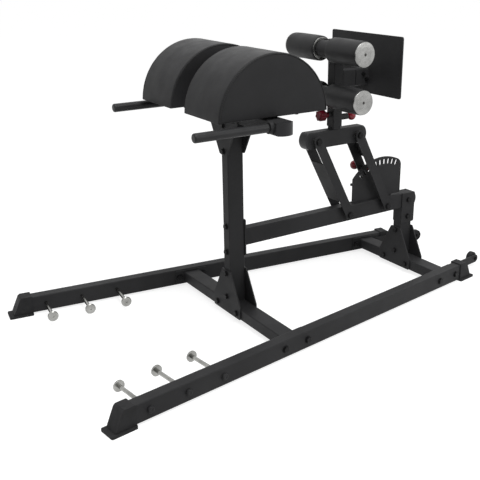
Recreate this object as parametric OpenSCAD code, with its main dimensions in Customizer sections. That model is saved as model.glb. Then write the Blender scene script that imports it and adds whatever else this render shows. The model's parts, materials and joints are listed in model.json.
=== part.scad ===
// Glute ham developer: a split hip pad on a tall post, and a foot carriage with
// ankle rollers and a foot plate that swings on two parallel links over a long
// low boom. A slotted sector holds the carriage at ten places.
// Millimetres, +Z up. +X runs from the hand rails toward the foot plate.

/* [Frame tube] */
// Wide side of the rectangular frame tube
tube_wide = 76; // [60:1:90]
// Narrow side of the rectangular frame tube
tube_narrow = 51; // [44:1:60]
// Wall of the frame tube
tube_wall = 3; // [2:0.5:4]
// Outside corner radius of the frame tube
tube_corner = 5; // [4:0.5:8]
// Thickness of the bolted steel plates
plate_thick = 6; // [4:0.5:8]

/* [Base rails] */
// Length over the rubber feet of one rail, along the middle of the object
base_length = 2067; // [1980:1:2200]
// Distance from the middle to the outer face of a rail at the front
rail_half_width = 575; // [540:1:620]
// Angle by which each rail turns in toward the rear
rail_angle = 7.52; // [5:0.01:8.5]
// Height of the underside of a rail above the floor
rail_lift = 8; // [6:0.5:12]

/* [Rubber feet] */
// Length of a foot along its rail
foot_length = 104; // [90:1:130]
// Thickness of the sole
sole_thick = 10; // [8:0.5:14]
// Reach of the sole past the rail on each side
sole_overhang = 13; // [6:0.5:18]
// Rubber wall over the rail
foot_wall = 5; // [3:0.5:6]
// Slope of the toe, measured along the rail
toe_slope = 35; // [20:1:45]
// Width of the flat lip in front of the toe
toe_lip = 18; // [10:1:24]

/* [Band pegs] */
// Distance from the front of the rail to the first peg
peg_first = 161; // [140:1:200]
// Distance between pegs
peg_pitch = 162; // [120:1:180]
// Diameter of a peg
peg_diameter = 16; // [14:0.5:22]
// Length of a peg with its disc
peg_length = 160; // [120:1:180]
// Diameter of the end disc
peg_disc_diameter = 46; // [36:1:60]
// Thickness of the end disc
peg_disc_thick = 9; // [5:0.5:12]

/* [Cross members and gussets] */
// Distance from the rear end to the middle of the rear cross member
rear_cross_inset = 207; // [190:1:220]
// Distance between the middles of the two cross members
cross_spacing = 1005.5; // [960:0.5:1040]
// Length of the end flange that bolts to a rail
flange_length = 160; // [150:1:175]
// Height of the end flange
flange_height = 66; // [56:1:70]
// Half distance between the two bolts of an end flange
flange_bolt_reach = 62; // [56:1:66]
// Half width of a gusset plate at the bottom
gusset_half_width = 110; // [100:1:130]
// Half width of a gusset plate at the top
gusset_top_half_width = 33; // [26:1:38]
// Height of the top of a gusset plate
gusset_top = 224; // [200:1:260]
// Corner radius of the gusset and bracket plates
plate_corner = 7; // [3:0.5:12]

/* [Pad post] */
// Height of the underside of the cross beam that carries the pads
beam_bottom = 890; // [840:1:960]
// Half length of the cross beam with its end caps
beam_half_length = 400; // [392:1:420]
// Height of the lower edge of the bracket plates
bracket_bottom = 744; // [720:1:780]
// Half width of the bracket plates where they meet the beam
bracket_half_width = 111; // [90:1:130]
// Bulge of the plastic end caps
cap_bulge = 20; // [10:0.5:24]

/* [Hand rails] */
// Distance from the middle to the axis of a hand rail
handle_reach = 348; // [335:1:350]
// Length of a hand rail in front of the pad post
handle_length = 332.5; // [260:0.5:400]
// Diameter of the rubber grip
grip_diameter = 36; // [32:0.5:42]
// Diameter of the steel bar inside the grip
handle_bar_diameter = 28; // [22:0.5:30]

/* [Pads] */
// Radius of the round face of a pad
pad_radius = 245; // [220:1:260]
// Width of one pad
pad_width = 268; // [240:1:280]
// Gap between the two pads
pad_gap = 106; // [90:1:140]
// Radius of the soft edge between the round face and a side
pad_edge = 12; // [8:0.5:20]
// Crown of the round face and of the sides
pad_crown = 5; // [2:0.5:8]
// Thickness of the board below a pad
board_thick = 11; // [8:0.5:16]
// Distance from the edge of a pad to the edge of its board
board_inset = 50; // [40:1:60]

/* [Boom] */
// Height of the middle of the boom
boom_z = 366; // [360:1:380]
// Reach of the boom with its cap past the middle of the rear upright
boom_overhang = 61; // [58:1:80]
// Half height of the plate that bolts the boom to the post
boom_plate_half = 83; // [78:1:90]
// Thickness of the side plates at the rear upright
side_plate_thick = 5; // [4:0.5:8]

/* [Links] */
// Distance from the middle of the rear upright forward to the rear link's pivot
rear_pivot_inset = 149.5; // [146:0.5:160]
// Distance between the lower pivots of the two links
pivot_spacing = 239.5; // [230:0.5:250]
// Length of a link between its pivots
link_length = 426; // [410:0.5:440]
// Slot that holds the links as drawn, counted from the front
drawn_slot = 3; // [1:1:4]
// Width of a link plate
link_width = 46; // [42:1:52]
// Thickness of a link plate
link_plate = 6; // [5:0.5:8]
// Distance from the middle to the inner face of a link plate
link_inner = 43.5; // [40:0.5:46]
// Diameter of the pivot bolts
pivot_diameter = 16; // [14:0.5:18]
// Running clearance around a pivot bolt
pivot_clearance = 0.06; // [0.03:0.01:0.1]

/* [Latch sector] */
// Radius of the sector plate
sector_radius = 241; // [238:1:246]
// Radius of the row of slots
slot_radius = 216; // [210:0.5:217]
// Number of slots
slot_count = 10; // [4:1:11]
// Angle between slots
slot_pitch = 6.9; // [6.2:0.1:7]
// Angle of the first slot, forward of upright
slot_first = 41.1; // [40:0.1:42]
// Width of a slot
slot_width = 12; // [10:0.5:13]
// Length of a slot
slot_length = 28; // [20:1:32]
// Thickness of the sector plate
sector_thick = 7; // [5:0.5:8]
// Distance of the sector plate from the middle, toward the right
sector_offset = 4; // [0:1:8]
// Diameter of the knob of the latch pin
latch_knob_diameter = 45; // [38:1:50]

/* [Carriage] */
// Length of the carriage tube without its end caps
head_length = 313; // [305:1:330]
// Size of the square post
post_size = 44; // [40:1:44]
// Length of the post above the carriage tube
post_length = 330; // [250:1:345]
// Wall of the sliding sleeve
sleeve_wall = 3; // [2.5:0.5:4]
// Gap between the post and the sleeve on each side
sleeve_gap = 0.5; // [0.4:0.1:1]
// Reach of the sleeve above the upper roller axis
sleeve_reach = 39; // [39:1:60]
// Distance of the sleeve's lower end above the carriage tube
sleeve_lift = 12; // [4:1:40]
// Pitch of the height holes in the post
post_hole_pitch = 30; // [25:1:50]

/* [Ankle rollers] */
// Distance from the middle of the post forward to the roller axes
roller_ahead = 46; // [42:1:60]
// Height of the lower roller axis above the lower end of the sleeve
roller_rise = 146; // [136:1:160]
// Distance between the axes of the two rollers
roller_spacing = 199; // [180:1:210]
// Diameter of the foam
foam_diameter = 112; // [100:1:120]
// Diameter of the chrome end discs
roller_disc_diameter = 104; // [90:1:108]
// Distance from the middle to the outer end of a roller
roller_outer = 250; // [200:1:280]
// Distance from the middle to the inner end of a roller
roller_inner = 40; // [36:1:60]
// Diameter of the axle
axle_diameter = 25; // [20:1:30]

/* [Foot plate] */
// Distance from the middle of the post back to the face of the foot plate
foot_plate_behind = 170; // [160:1:190]
// Half width of the foot plate
foot_plate_half_width = 241; // [200:1:280]
// Height of the foot plate's lower edge above the lower end of the sleeve
foot_plate_lift = 137; // [120:1:150]
// Height of the foot plate
foot_plate_height = 267; // [220:1:300]
// Corner radius of the foot plate
foot_plate_corner = 10; // [5:1:30]

/* [Transport wheels] */
// Distance from the rear end of the rails to the wheel axle
wheel_reach = 101; // [90:1:112]
// Radius of a wheel
wheel_radius = 30; // [25:1:34]
// Width of a wheel
wheel_width = 25; // [20:1:30]
// Height of the wheel axle
wheel_z = 45; // [40:1:50]

/* [Bolts] */
// Diameter of the frame bolts
bolt_diameter = 12; // [10:1:12]
// Clearance around the shank of a bolt
bolt_clearance = 0.5; // [0.3:0.1:1]

/* [Hidden] */
cut = 1;
round_fn = 64;
small_fn = 32;
seat_gap = 0.2;
tip_gap = 0.4;
weld_gap = 0.1;
quarter = 90;
wheel_edge = 4;
rear_cross_x = base_length - rear_cross_inset;
front_cross_x = rear_cross_x - cross_spacing;
wheel_x = base_length + wheel_reach;
overall_length = wheel_x + (wheel_radius - wheel_edge) * cos(rail_angle)
    + (wheel_width / 2 - wheel_edge) * sin(rail_angle) + wheel_edge;
screw_diameter = 8;
rail_middle = rail_lift + tube_wide / 2;
rail_inner = -tube_narrow / 2;
rail_centre_y = rail_half_width - tube_narrow / 2 / cos(rail_angle);
sole_corner = 6;
toe_shift = (tube_narrow / 2 + sole_overhang - sole_corner) * sin(rail_angle)
    + sole_corner * (1 - cos(rail_angle));
rail_run = (base_length - 2 * toe_shift) / cos(rail_angle);
toe_depth = toe_lip + toe_slope + foot_wall;
foot_top = rail_lift + tube_wide + foot_wall;
cross_z = rail_middle;
cross_top = cross_z + tube_narrow / 2;
post_front_x = front_cross_x - tube_wide / 2;
post_rear_x = front_cross_x + tube_wide / 2;
beam_z = beam_bottom + tube_narrow / 2;
beam_top = beam_bottom + tube_narrow;
handle_tip_x = post_front_x - handle_length;
handle_z = beam_z + 4;
boom_start_x = post_rear_x + plate_thick;
boom_end_x = rear_cross_x + boom_overhang;
boom_bottom = boom_z - tube_wide / 2;
boom_top = boom_z + tube_wide / 2;
pad_middle_y = pad_gap / 2 + pad_width / 2;
rear_pivot_x = rear_cross_x - rear_pivot_inset;
front_pivot_x = rear_pivot_x - pivot_spacing;
link_lean = slot_first - (drawn_slot - 1) * slot_pitch;
link_shift_x = -link_length * sin(link_lean);
link_rise = link_length * cos(link_lean);
top_pivot_z = boom_z + link_rise;
head_front_pivot_x = front_pivot_x + link_shift_x;
head_rear_pivot_x = rear_pivot_x + link_shift_x;
head_middle_x = (head_front_pivot_x + head_rear_pivot_x) / 2;
head_top = top_pivot_z + tube_wide / 2;
post_offset = 4;
post_x = head_middle_x + post_offset;
sleeve_bore = post_size + 2 * sleeve_gap;
sleeve_size = sleeve_bore + 2 * sleeve_wall;
sleeve_bottom = head_top + sleeve_lift;
roller_x = post_x - roller_ahead;
lower_roller_z = sleeve_bottom + roller_rise;
upper_roller_z = lower_roller_z + roller_spacing;
sleeve_top = upper_roller_z + sleeve_reach;
foot_plate_x = post_x + foot_plate_behind;
foot_plate_bottom = sleeve_bottom + foot_plate_lift;
black = [0.16, 0.16, 0.17];
rubber = [0.1, 0.1, 0.11];
chrome = [0.75, 0.75, 0.77];
zinc = [0.3, 0.3, 0.32];
red = [0.5, 0.07, 0.12];
vinyl = [0.2, 0.2, 0.21];

gusset_bolt_margin = 17;
gusset_bolt_rise = 25.5;
gusset_bolt_reach = 79;
gusset_bolts = [[0, gusset_top - gusset_bolt_margin], [0, cross_top + gusset_bolt_rise],
    [-gusset_bolt_reach, cross_z], [gusset_bolt_reach, cross_z]];
bracket_low_margin = 13;
bracket_high_margin = 23;
bracket_bolts = [bracket_bottom + bracket_low_margin, beam_bottom - bracket_high_margin];
boom_bolt_reach = 58.5;
side_bolt_shift = 6.5;
side_bolt_drop = 86;
side_bolts = [[rear_cross_x + side_bolt_shift, boom_z],
    [rear_cross_x + side_bolt_shift, boom_z - side_bolt_drop]];

// Sub-part to draw, or all

// Frames

module from_front() {
    translate([-overall_length / 2, 0, 0]) children();
}

// side is 1 for left and -1 for right; x runs along the rail, y outward
module on_rail(side) {
    from_front()
        mirror([0, side < 0 ? 1 : 0, 0])
            translate([toe_shift, rail_centre_y, 0]) rotate(-rail_angle) children();
}

// x and z in the plane of the links, thickness along y
module upright_plate(y, thick) {
    translate([0, y + thick, 0]) rotate([90, 0, 0]) linear_extrude(thick) children();
}

// y and z in the face of a plate, thickness along x
module facing_plate(x, thick) {
    translate([x, 0, 0]) rotate([90, 0, 90]) linear_extrude(thick) children();
}

// Sections

module rounded_rect(w, h, r) {
    square([w - 2 * r, h], center = true);
    square([w, h - 2 * r], center = true);
    for (sx = [-1, 1])
        for (sy = [-1, 1])
            translate([sx * (w / 2 - r), sy * (h / 2 - r)]) circle(r, $fn = small_fn);
}

module tube_section(w, h, wall) {
    difference() {
        rounded_rect(w, h, tube_corner);
        rounded_rect(w - 2 * wall, h - 2 * wall, tube_corner - wall);
    }
}

module tube_along_x(x0, x1, z, w, h) {
    translate([x0, 0, z]) rotate([90, 0, 90])
        linear_extrude(x1 - x0) tube_section(w, h, tube_wall);
}

module tube_along_y(x, z, half, w, h) {
    translate([x, half, z]) rotate([90, 0, 0])
        linear_extrude(2 * half) tube_section(w, h, tube_wall);
}

module tube_along_z(x, z0, z1, w, h) {
    translate([x, 0, z0]) linear_extrude(z1 - z0) tube_section(w, h, tube_wall);
}

function arc(c, r, a0, a1, n) = [for (i = [0:n]) c + r * [cos(a0 + (a1 - a0) * i / n),
    sin(a0 + (a1 - a0) * i / n)]];

// Outline of a plate whose sides slope in toward one edge, with round corners
module sloped_outline(half_wide, z_wide, z_shoulder, half_narrow, z_narrow) {
    up = z_narrow > z_wide ? 1 : -1;
    slope = atan2(abs(z_narrow - z_shoulder), half_wide - half_narrow);
    r = plate_corner;
    k = r * tan((quarter - slope) / 2);
    n = r * tan(slope / 2);
    right = concat(
        arc([half_wide - r, z_wide + up * r], r, -quarter * up, 0, 4),
        arc([half_wide - r, z_shoulder - up * k], r, 0, (quarter - slope) * up, 3),
        arc([half_narrow - n, z_narrow - up * r], r, (quarter - slope) * up, quarter * up, 4));
    count = len(right);
    polygon(concat(right, [for (i = [1:count]) [-right[count - i][0], right[count - i][1]]]));
}

// Fasteners, head below z = 0 and shank toward +z

module hex(size, height) {
    cylinder(d = size / cos(30), h = height, $fn = 6);
}

module bolt(d, grip) {
    washer = d / 6;
    head = d * 0.62;
    nut = d * 0.8;
    translate([0, 0, -washer - head]) hex(d * 1.5, head);
    translate([0, 0, -washer]) cylinder(d = d * 2, h = washer, $fn = small_fn);
    translate([0, 0, -washer]) cylinder(d = d, h = grip + 2 * washer + nut + 3, $fn = small_fn);
    translate([0, 0, grip]) cylinder(d = d * 2, h = washer, $fn = small_fn);
    translate([0, 0, grip + washer]) hex(d * 1.5, nut);
}

module screw(d, length) {
    washer = d / 6;
    head = d * 0.62;
    translate([0, 0, -washer - head]) hex(d * 1.5, head);
    translate([0, 0, -washer]) cylinder(d = d * 2, h = washer, $fn = small_fn);
    translate([0, 0, -washer]) cylinder(d = d, h = washer + length, $fn = small_fn);
}

module hole(d, length) {
    cylinder(d = d + 2 * bolt_clearance, h = length, center = true, $fn = small_fn);
}

module hole_along_x(x, y, z, length) {
    translate([x, y, z]) rotate([0, 90, 0]) hole(bolt_diameter, length);
}

module hole_along_y(x, z, length) {
    translate([x, 0, z]) rotate([90, 0, 0]) hole(bolt_diameter, length);
}

// Base

// Along-rail distance of the point on the inner face of a rail that lies at x
function rail_place(x) = (x - toe_shift) / cos(rail_angle) + tube_narrow / 2 * tan(rail_angle);
function peg_place(i) = rail_place(peg_first + peg_pitch * i);
function flange_bolt_places(x) = [for (s = [-1, 1]) rail_place(x) + s * flange_bolt_reach];
wheel_bolt_place = flange_bolt_places(rear_cross_x)[1];
bracket_inner = rail_inner - 2 * plate_thick;
wheel_spacer = 8;
wheel_gap = 0.3;
wheel_middle = bracket_inner - wheel_spacer - wheel_gap - wheel_width / 2;
wheel_place = (wheel_x - toe_shift - wheel_middle * sin(rail_angle)) / cos(rail_angle);
wheel_screw_place = rail_run - foot_length * 0.6;

module rail_hole(place, d) {
    translate([place, 0, rail_middle]) rotate([90, 0, 0]) hole(d, 2 * tube_narrow);
}

module base_rail(side) {
    color(black) on_rail(side) difference() {
        translate([toe_depth, 0, rail_middle]) rotate([90, 0, 90])
            linear_extrude(rail_run - 2 * toe_depth)
                tube_section(tube_narrow, tube_wide, tube_wall);
        for (i = [0:2]) rail_hole(peg_place(i), bolt_diameter);
        for (p = flange_bolt_places(front_cross_x)) rail_hole(p, bolt_diameter);
        for (p = flange_bolt_places(rear_cross_x)) rail_hole(p, bolt_diameter);
        translate([wheel_screw_place, rail_inner, wheel_z]) rotate([90, 0, 0])
            hole(screw_diameter, tube_narrow / 2);
    }
}

// A rubber shoe over the end of a rail, toe at x = 0
module foot_shell() {
    r = sole_corner;
    difference() {
        union() {
            translate([foot_length / 2, 0, 0]) linear_extrude(sole_thick)
                rounded_rect(foot_length, tube_narrow + 2 * sole_overhang, r);
            intersection() {
                upright_plate(-tube_narrow, 2 * tube_narrow)
                    polygon([[toe_lip, sole_thick / 2], [foot_length, sole_thick / 2],
                        [foot_length, foot_top - foot_wall / 2],
                        [foot_length - foot_wall / 2, foot_top],
                        [toe_lip + toe_slope + r, foot_top],
                        [toe_lip + toe_slope - r * toe_slope / foot_top, foot_top - r],
                        [toe_lip, sole_thick]]);
                translate([toe_lip + foot_length / 2, 0, 0]) linear_extrude(foot_top)
                    rounded_rect(foot_length, tube_narrow + 2 * foot_wall, r);
            }
        }
        translate([toe_depth, rail_inner, rail_lift])
            cube([foot_length, tube_narrow, tube_wide]);
    }
}

module front_foot(side) {
    color(rubber) on_rail(side) foot_shell();
}

module rear_foot(side) {
    color(rubber) on_rail(side) difference() {
        translate([rail_run, 0, 0]) mirror([1, 0, 0]) foot_shell();
        translate([wheel_screw_place, rail_inner - foot_wall / 2, wheel_z])
            rotate([90, 0, 0]) hole(screw_diameter, 2 * foot_wall);
    }
}

peg_thread = 28;
peg_dimple = 8;

module band_peg() {
    r = peg_diameter / 2;
    disc_z = peg_length - peg_disc_thick;
    difference() {
        union() {
            cylinder(r = r, h = disc_z, $fn = round_fn);
            translate([0, 0, disc_z]) cylinder(d1 = peg_disc_diameter - 2,
                d2 = peg_disc_diameter, h = 1, $fn = round_fn);
            translate([0, 0, disc_z + 1]) cylinder(d = peg_disc_diameter,
                h = peg_disc_thick - 3, $fn = round_fn);
            translate([0, 0, peg_length - 2]) cylinder(d1 = peg_disc_diameter,
                d2 = peg_disc_diameter - 4, h = 2, $fn = round_fn);
        }
        translate([0, 0, peg_thread / 2 - cut]) hole(bolt_diameter, peg_thread + 2 * cut + 4);
        translate([0, 0, peg_length - peg_disc_thick / 3])
            cylinder(d = peg_dimple, h = peg_disc_thick, $fn = small_fn);
    }
}

module band_pegs(side) {
    color(chrome) on_rail(side)
        for (i = [0:2])
            translate([peg_place(i), rail_inner, rail_middle]) rotate([90, 0, 0]) band_peg();
}

module cross_member(x) {
    color(black) {
        difference() {
            from_front() tube_along_y(x, cross_z, rail_half_width, tube_wide, tube_narrow);
            for (side = [-1, 1])
                on_rail(side)
                    translate([0, rail_inner - plate_thick, 0])
                        cube([rail_run, rail_half_width, 2 * tube_wide]);
            from_front()
                for (b = gusset_bolts) hole_along_x(x, b[0], b[1], 2 * tube_wide);
        }
        for (side = [-1, 1])
            on_rail(side) difference() {
                translate([rail_place(x), 0, rail_middle])
                    upright_plate(rail_inner - plate_thick, plate_thick)
                        rounded_rect(flange_length, flange_height, plate_corner);
                for (p = flange_bolt_places(x)) rail_hole(p, bolt_diameter);
            }
    }
}

gusset_foot = 24;
gusset_shoulder = 32;

module gusset_plate(x) {
    difference() {
        facing_plate(x, plate_thick)
            sloped_outline(gusset_half_width, cross_z - gusset_foot, cross_z + gusset_shoulder,
                gusset_top_half_width, gusset_top);
        for (b = gusset_bolts) hole_along_x(x, b[0], b[1], tube_wide);
    }
}

module gussets(x) {
    color(black) from_front() {
        gusset_plate(x - tube_wide / 2 - plate_thick);
        gusset_plate(x + tube_wide / 2);
    }
}

// Pad post

module front_upright() {
    color(black) from_front() difference() {
        tube_along_z(front_cross_x, cross_top, beam_bottom, tube_wide, tube_narrow);
        for (b = gusset_bolts) hole_along_x(front_cross_x, b[0], b[1], 2 * tube_wide);
        for (z = bracket_bolts) hole_along_x(front_cross_x, 0, z, 2 * tube_wide);
        for (s = [-1, 1])
            hole_along_x(front_cross_x, 0, boom_z + s * boom_bolt_reach, 2 * tube_wide);
    }
}

bracket_rim = 16;
bracket_foot_margin = 4;

module pad_bracket(x) {
    difference() {
        facing_plate(x, plate_thick)
            sloped_outline(bracket_half_width, beam_bottom + bracket_rim, beam_bottom,
                tube_narrow / 2 + bracket_foot_margin, bracket_bottom);
        for (z = bracket_bolts) hole_along_x(x, 0, z, tube_wide);
    }
}

module pad_brackets() {
    color(black) from_front() {
        pad_bracket(post_front_x - plate_thick);
        pad_bracket(post_rear_x);
    }
}

pad_bolt_y = 66;
pad_screw_x = 147;
pad_screw_diameter = 10;
collar_diameter = handle_bar_diameter + 20;
collar_length = 16;
grip_end = 4;
bar_wall = 2.5;

// Places of the bolts that hold a board on the beam
module at_beam_bolts() {
    for (side = [-1, 1])
        for (s = [-1, 1])
            translate([front_cross_x, side * pad_middle_y + s * pad_bolt_y, beam_bottom])
                children();
}

// Places of the screws that hold a pad on its board
module at_pad_screws(side) {
    for (sx = [-1, 1])
        for (sy = [-1, 1])
            translate([front_cross_x + sx * pad_screw_x,
                side * pad_middle_y + sy * pad_bolt_y, beam_top]) children();
}

module pad_beam() {
    bar_end = handle_tip_x + grip_end;
    bar_length = post_front_x - bar_end;
    color(black) from_front() {
        difference() {
            tube_along_y(front_cross_x, beam_z, beam_half_length - cap_bulge,
                tube_wide, tube_narrow);
            at_beam_bolts() hole(screw_diameter, 4 * tube_narrow);
        }
        for (side = [-1, 1])
            translate([bar_end, side * handle_reach, handle_z]) rotate([0, 90, 0])
                difference() {
                    union() {
                        cylinder(d = handle_bar_diameter, h = bar_length, $fn = round_fn);
                        translate([0, 0, bar_length - collar_length])
                            cylinder(d = collar_diameter, h = collar_length, $fn = round_fn);
                    }
                    translate([0, 0, -cut]) cylinder(d = handle_bar_diameter - 2 * bar_wall,
                        h = bar_length, $fn = round_fn);
                }
    }
}

// A plastic plug in the end of a tube, w along x and h along y, its face
// curved along w
module end_cap(w, h) {
    rim = 1;
    plug = 16;
    sag = cap_bulge - rim;
    face_r = (w * w / 4 + sag * sag) / (2 * sag);
    linear_extrude(rim) rounded_rect(w, h, tube_corner);
    intersection() {
        linear_extrude(cap_bulge) rounded_rect(w, h, tube_corner);
        translate([0, 0, cap_bulge - face_r]) rotate([90, 0, 0])
            cylinder(r = face_r, h = 2 * h, center = true, $fn = 128);
    }
    inside = 2 * tube_wall + 1;
    translate([0, 0, -plug]) linear_extrude(plug)
        rounded_rect(w - inside, h - inside, tube_corner - tube_wall);
}

module frame_end_caps() {
    color(rubber) from_front() {
        for (side = [-1, 1])
            translate([front_cross_x, side * (beam_half_length - cap_bulge), beam_z])
                rotate([-side * 90, 0, 0]) end_cap(tube_wide, tube_narrow);
        translate([boom_end_x - cap_bulge, 0, boom_z]) rotate([0, 90, 0])
            end_cap(tube_wide, tube_narrow);
    }
}

module handle_grip(side) {
    r = grip_diameter / 2;
    bore = handle_bar_diameter / 2 + weld_gap;
    length = handle_length - collar_length - 2;
    nose = 7;
    color(rubber) from_front()
        translate([handle_tip_x, side * handle_reach, handle_z]) rotate([0, 90, 0])
            rotate_extrude($fn = round_fn)
                polygon(concat([[0, 0]], arc([r - nose, nose], nose, -90, 0, 6),
                    [[r, length - 2], [r - 2, length], [bore, length],
                        [bore, grip_end], [0, grip_end]]));
}

// Pads

// The round face is an arc about a point on top of the beam, below the board
pad_arc_steps = 38;
pad_flat_steps = 8;
pad_half = pad_width / 2;

function pad_inset(s) = s >= pad_edge ? 0
    : pad_edge - sqrt(pad_edge * pad_edge - (pad_edge - s) * (pad_edge - s));
function pad_swell(s) = pad_crown * (1 - pow((pad_half - s) / pad_half, 2));

// Outline of the section, drawn in by inset and swelled on the round face
function pad_outline(inset, swell) =
    let (r = pad_radius - pad_crown + swell - inset,
        low = board_thick + inset,
        a0 = asin(low / r),
        half = r * cos(a0))
    concat([for (i = [0:pad_arc_steps])
            let (a = a0 + (180 - 2 * a0) * i / pad_arc_steps) [r * cos(a), r * sin(a)]],
        [for (i = [1:pad_flat_steps - 1]) [-half + 2 * half * i / pad_flat_steps, low]]);

function pad_ring(y, inset, swell) = [for (p = pad_outline(inset, swell)) [p[0], y, p[1]]];

// Rings of the bulging side face, shrinking toward its middle
function side_ring(sign, k) =
    let (c = [0, pad_radius * 0.45], base = pad_outline(pad_edge, 0))
    [for (p = base) [c[0] + (p[0] - c[0]) * k,
        sign * (pad_half - pad_crown + pad_crown * (1 - k * k)), c[1] + (p[1] - c[1]) * k]];

pad_edges = [0, 0.08, 0.3, 0.62, 1];
pad_spans = [0.18, 0.4, 0.65, 1];
pad_side_scale = [0.75, 0.45, 0.15];

function pad_distances() = concat([for (e = pad_edges) pad_edge * e],
    [for (e = pad_spans) pad_edge + (pad_half - pad_edge) * e]);

module pad(side) {
    d = pad_distances();
    last = len(d) - 1;
    half_rings = [for (s = d) [s, pad_inset(s), pad_swell(s)]];
    thin = pad_half - pad_crown;
    rings = concat(
        [for (k = pad_side_scale) side_ring(-1, pad_side_scale[2] + pad_side_scale[0] - k)],
        [for (q = half_rings) pad_ring(-thin + q[0] * thin / pad_half, q[1], q[2])],
        [for (i = [1:last]) pad_ring(thin - half_rings[last - i][0] * thin / pad_half,
            half_rings[last - i][1], half_rings[last - i][2])],
        [for (k = pad_side_scale) side_ring(1, k)]);
    n = len(rings[0]);
    m = len(rings);
    points = concat([for (q = rings) for (p = q) p],
        [[0, -pad_half, pad_radius * 0.45], [0, pad_half, pad_radius * 0.45]]);
    faces = concat(
        [for (j = [0:m - 2]) for (i = [0:n - 1])
            [j * n + i, j * n + (i + 1) % n, (j + 1) * n + i]],
        [for (j = [0:m - 2]) for (i = [0:n - 1])
            [j * n + (i + 1) % n, (j + 1) * n + (i + 1) % n, (j + 1) * n + i]],
        [for (i = [0:n - 1]) [i, m * n, (i + 1) % n]],
        [for (i = [0:n - 1]) [(m - 1) * n + i, (m - 1) * n + (i + 1) % n, m * n + 1]]);
    color(vinyl) from_front()
        translate([front_cross_x, side * pad_middle_y, beam_top])
            polyhedron(points, faces, convexity = 4);
}

module pad_board(side) {
    half_x = pad_radius - board_inset;
    half_y = pad_half - board_inset;
    color(black) from_front() difference() {
        translate([front_cross_x, side * pad_middle_y, beam_top]) linear_extrude(board_thick)
            rounded_rect(2 * half_x, 2 * half_y, board_inset / 2);
        at_beam_bolts() hole(screw_diameter, 4 * tube_narrow);
        at_pad_screws(side) hole(pad_screw_diameter, 4 * board_thick);
    }
}

module pad_bolts() {
    color(zinc) from_front() {
        at_beam_bolts() screw(screw_diameter, tube_narrow + board_thick - 1);
        for (side = [-1, 1]) at_pad_screws(side) screw(pad_screw_diameter, board_thick - 1);
    }
}

// Boom and rear upright

bush_outer = pivot_diameter / 2 + 6;
bush_bore = pivot_diameter / 2 + 0.3;

module pivot_hole(x, z, r) {
    translate([x, 0, z]) rotate([90, 0, 0])
        cylinder(r = r, h = 3 * tube_wide, center = true, $fn = round_fn);
}

module boom() {
    color(black) from_front() difference() {
        union() {
            tube_along_x(boom_start_x, boom_end_x - cap_bulge, boom_z, tube_narrow, tube_wide);
            facing_plate(post_rear_x, plate_thick) translate([0, boom_z])
                rounded_rect(tube_narrow + 10, 2 * boom_plate_half, plate_corner);
        }
        for (s = [-1, 1])
            hole_along_x(post_rear_x, 0, boom_z + s * boom_bolt_reach, tube_wide);
        for (x = [front_pivot_x, rear_pivot_x]) pivot_hole(x, boom_z, bush_outer + weld_gap);
        hole_along_y(side_bolts[0][0], side_bolts[0][1], 2 * tube_wide);
    }
}

module rear_upright() {
    color(black) from_front() difference() {
        tube_along_z(rear_cross_x, cross_top, boom_bottom, tube_wide, tube_narrow);
        for (b = gusset_bolts) hole_along_x(rear_cross_x, b[0], b[1], 2 * tube_wide);
        hole_along_y(side_bolts[1][0], side_bolts[1][1], 2 * tube_wide);
    }
}

side_plate_length = 84;
side_plate_shift = 6;
side_plate_drop = 80;

module rear_side_plate(side) {
    low = boom_bottom - side_plate_drop;
    y = side > 0 ? tube_narrow / 2 : -tube_narrow / 2 - side_plate_thick;
    color(black) from_front() difference() {
        upright_plate(y, side_plate_thick)
            translate([rear_cross_x + side_plate_shift, (boom_top + low) / 2])
                rounded_rect(side_plate_length, boom_top - low, plate_corner);
        for (b = side_bolts) hole_along_y(b[0], b[1], 2 * tube_wide);
    }
}

module frame_bolts() {
    post_grip = tube_wide + 2 * plate_thick;
    flange_grip = tube_narrow + plate_thick;
    color(zinc) {
        for (side = [-1, 1])
            on_rail(side) {
                for (i = [0:2])
                    translate([peg_place(i), -rail_inner, rail_middle]) rotate([90, 0, 0])
                        screw(bolt_diameter, tube_narrow + peg_thread - 4);
                for (x = [front_cross_x, rear_cross_x])
                    for (p = flange_bolt_places(x))
                        translate([p, -rail_inner, rail_middle]) rotate([90, 0, 0])
                            bolt(bolt_diameter, p == wheel_bolt_place
                                ? flange_grip + plate_thick : flange_grip);
            }
        from_front() {
            for (x = [front_cross_x, rear_cross_x])
                for (b = gusset_bolts)
                    translate([x - tube_wide / 2 - plate_thick, b[0], b[1]])
                        rotate([0, 90, 0]) bolt(bolt_diameter, post_grip);
            for (z = bracket_bolts)
                translate([post_front_x - plate_thick, 0, z]) rotate([0, 90, 0])
                    bolt(bolt_diameter, post_grip);
            for (s = [-1, 1])
                translate([post_front_x, 0, boom_z + s * boom_bolt_reach])
                    rotate([0, 90, 0]) bolt(bolt_diameter, tube_wide + plate_thick);
            for (b = side_bolts)
                translate([b[0], -tube_narrow / 2 - side_plate_thick, b[1]])
                    rotate([-90, 0, 0]) bolt(bolt_diameter, tube_narrow + 2 * side_plate_thick);
        }
    }
}

// Latch sector

sector_ahead = 10;
sector_middle_x = rear_pivot_x - sector_ahead;
sector_front = 183.5;
sector_rear = 122.5;
sector_foot = boom_top - boom_z;
sector_nose_r = 10;
sector_heel_r = 40;
sector_notch = 58;
notch_height = 6;
stop_height = 132;
stop_length = 12;
stop_diameter = 13;
stop_edge = 2;
stop_grip = 5;

// Removes the sharp corner between the arc and an upright edge
module corner_cutter(edge, r) {
    c = [abs(edge) - r, sqrt(pow(sector_radius - r, 2) - pow(abs(edge) - r, 2))];
    mirror([edge < 0 ? 1 : 0, 0])
        difference() {
            polygon([c, c + [2 * r, 0], c * (1 + 2 * r / (sector_radius - r))]);
            translate(c) circle(r, $fn = round_fn);
        }
}

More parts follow.
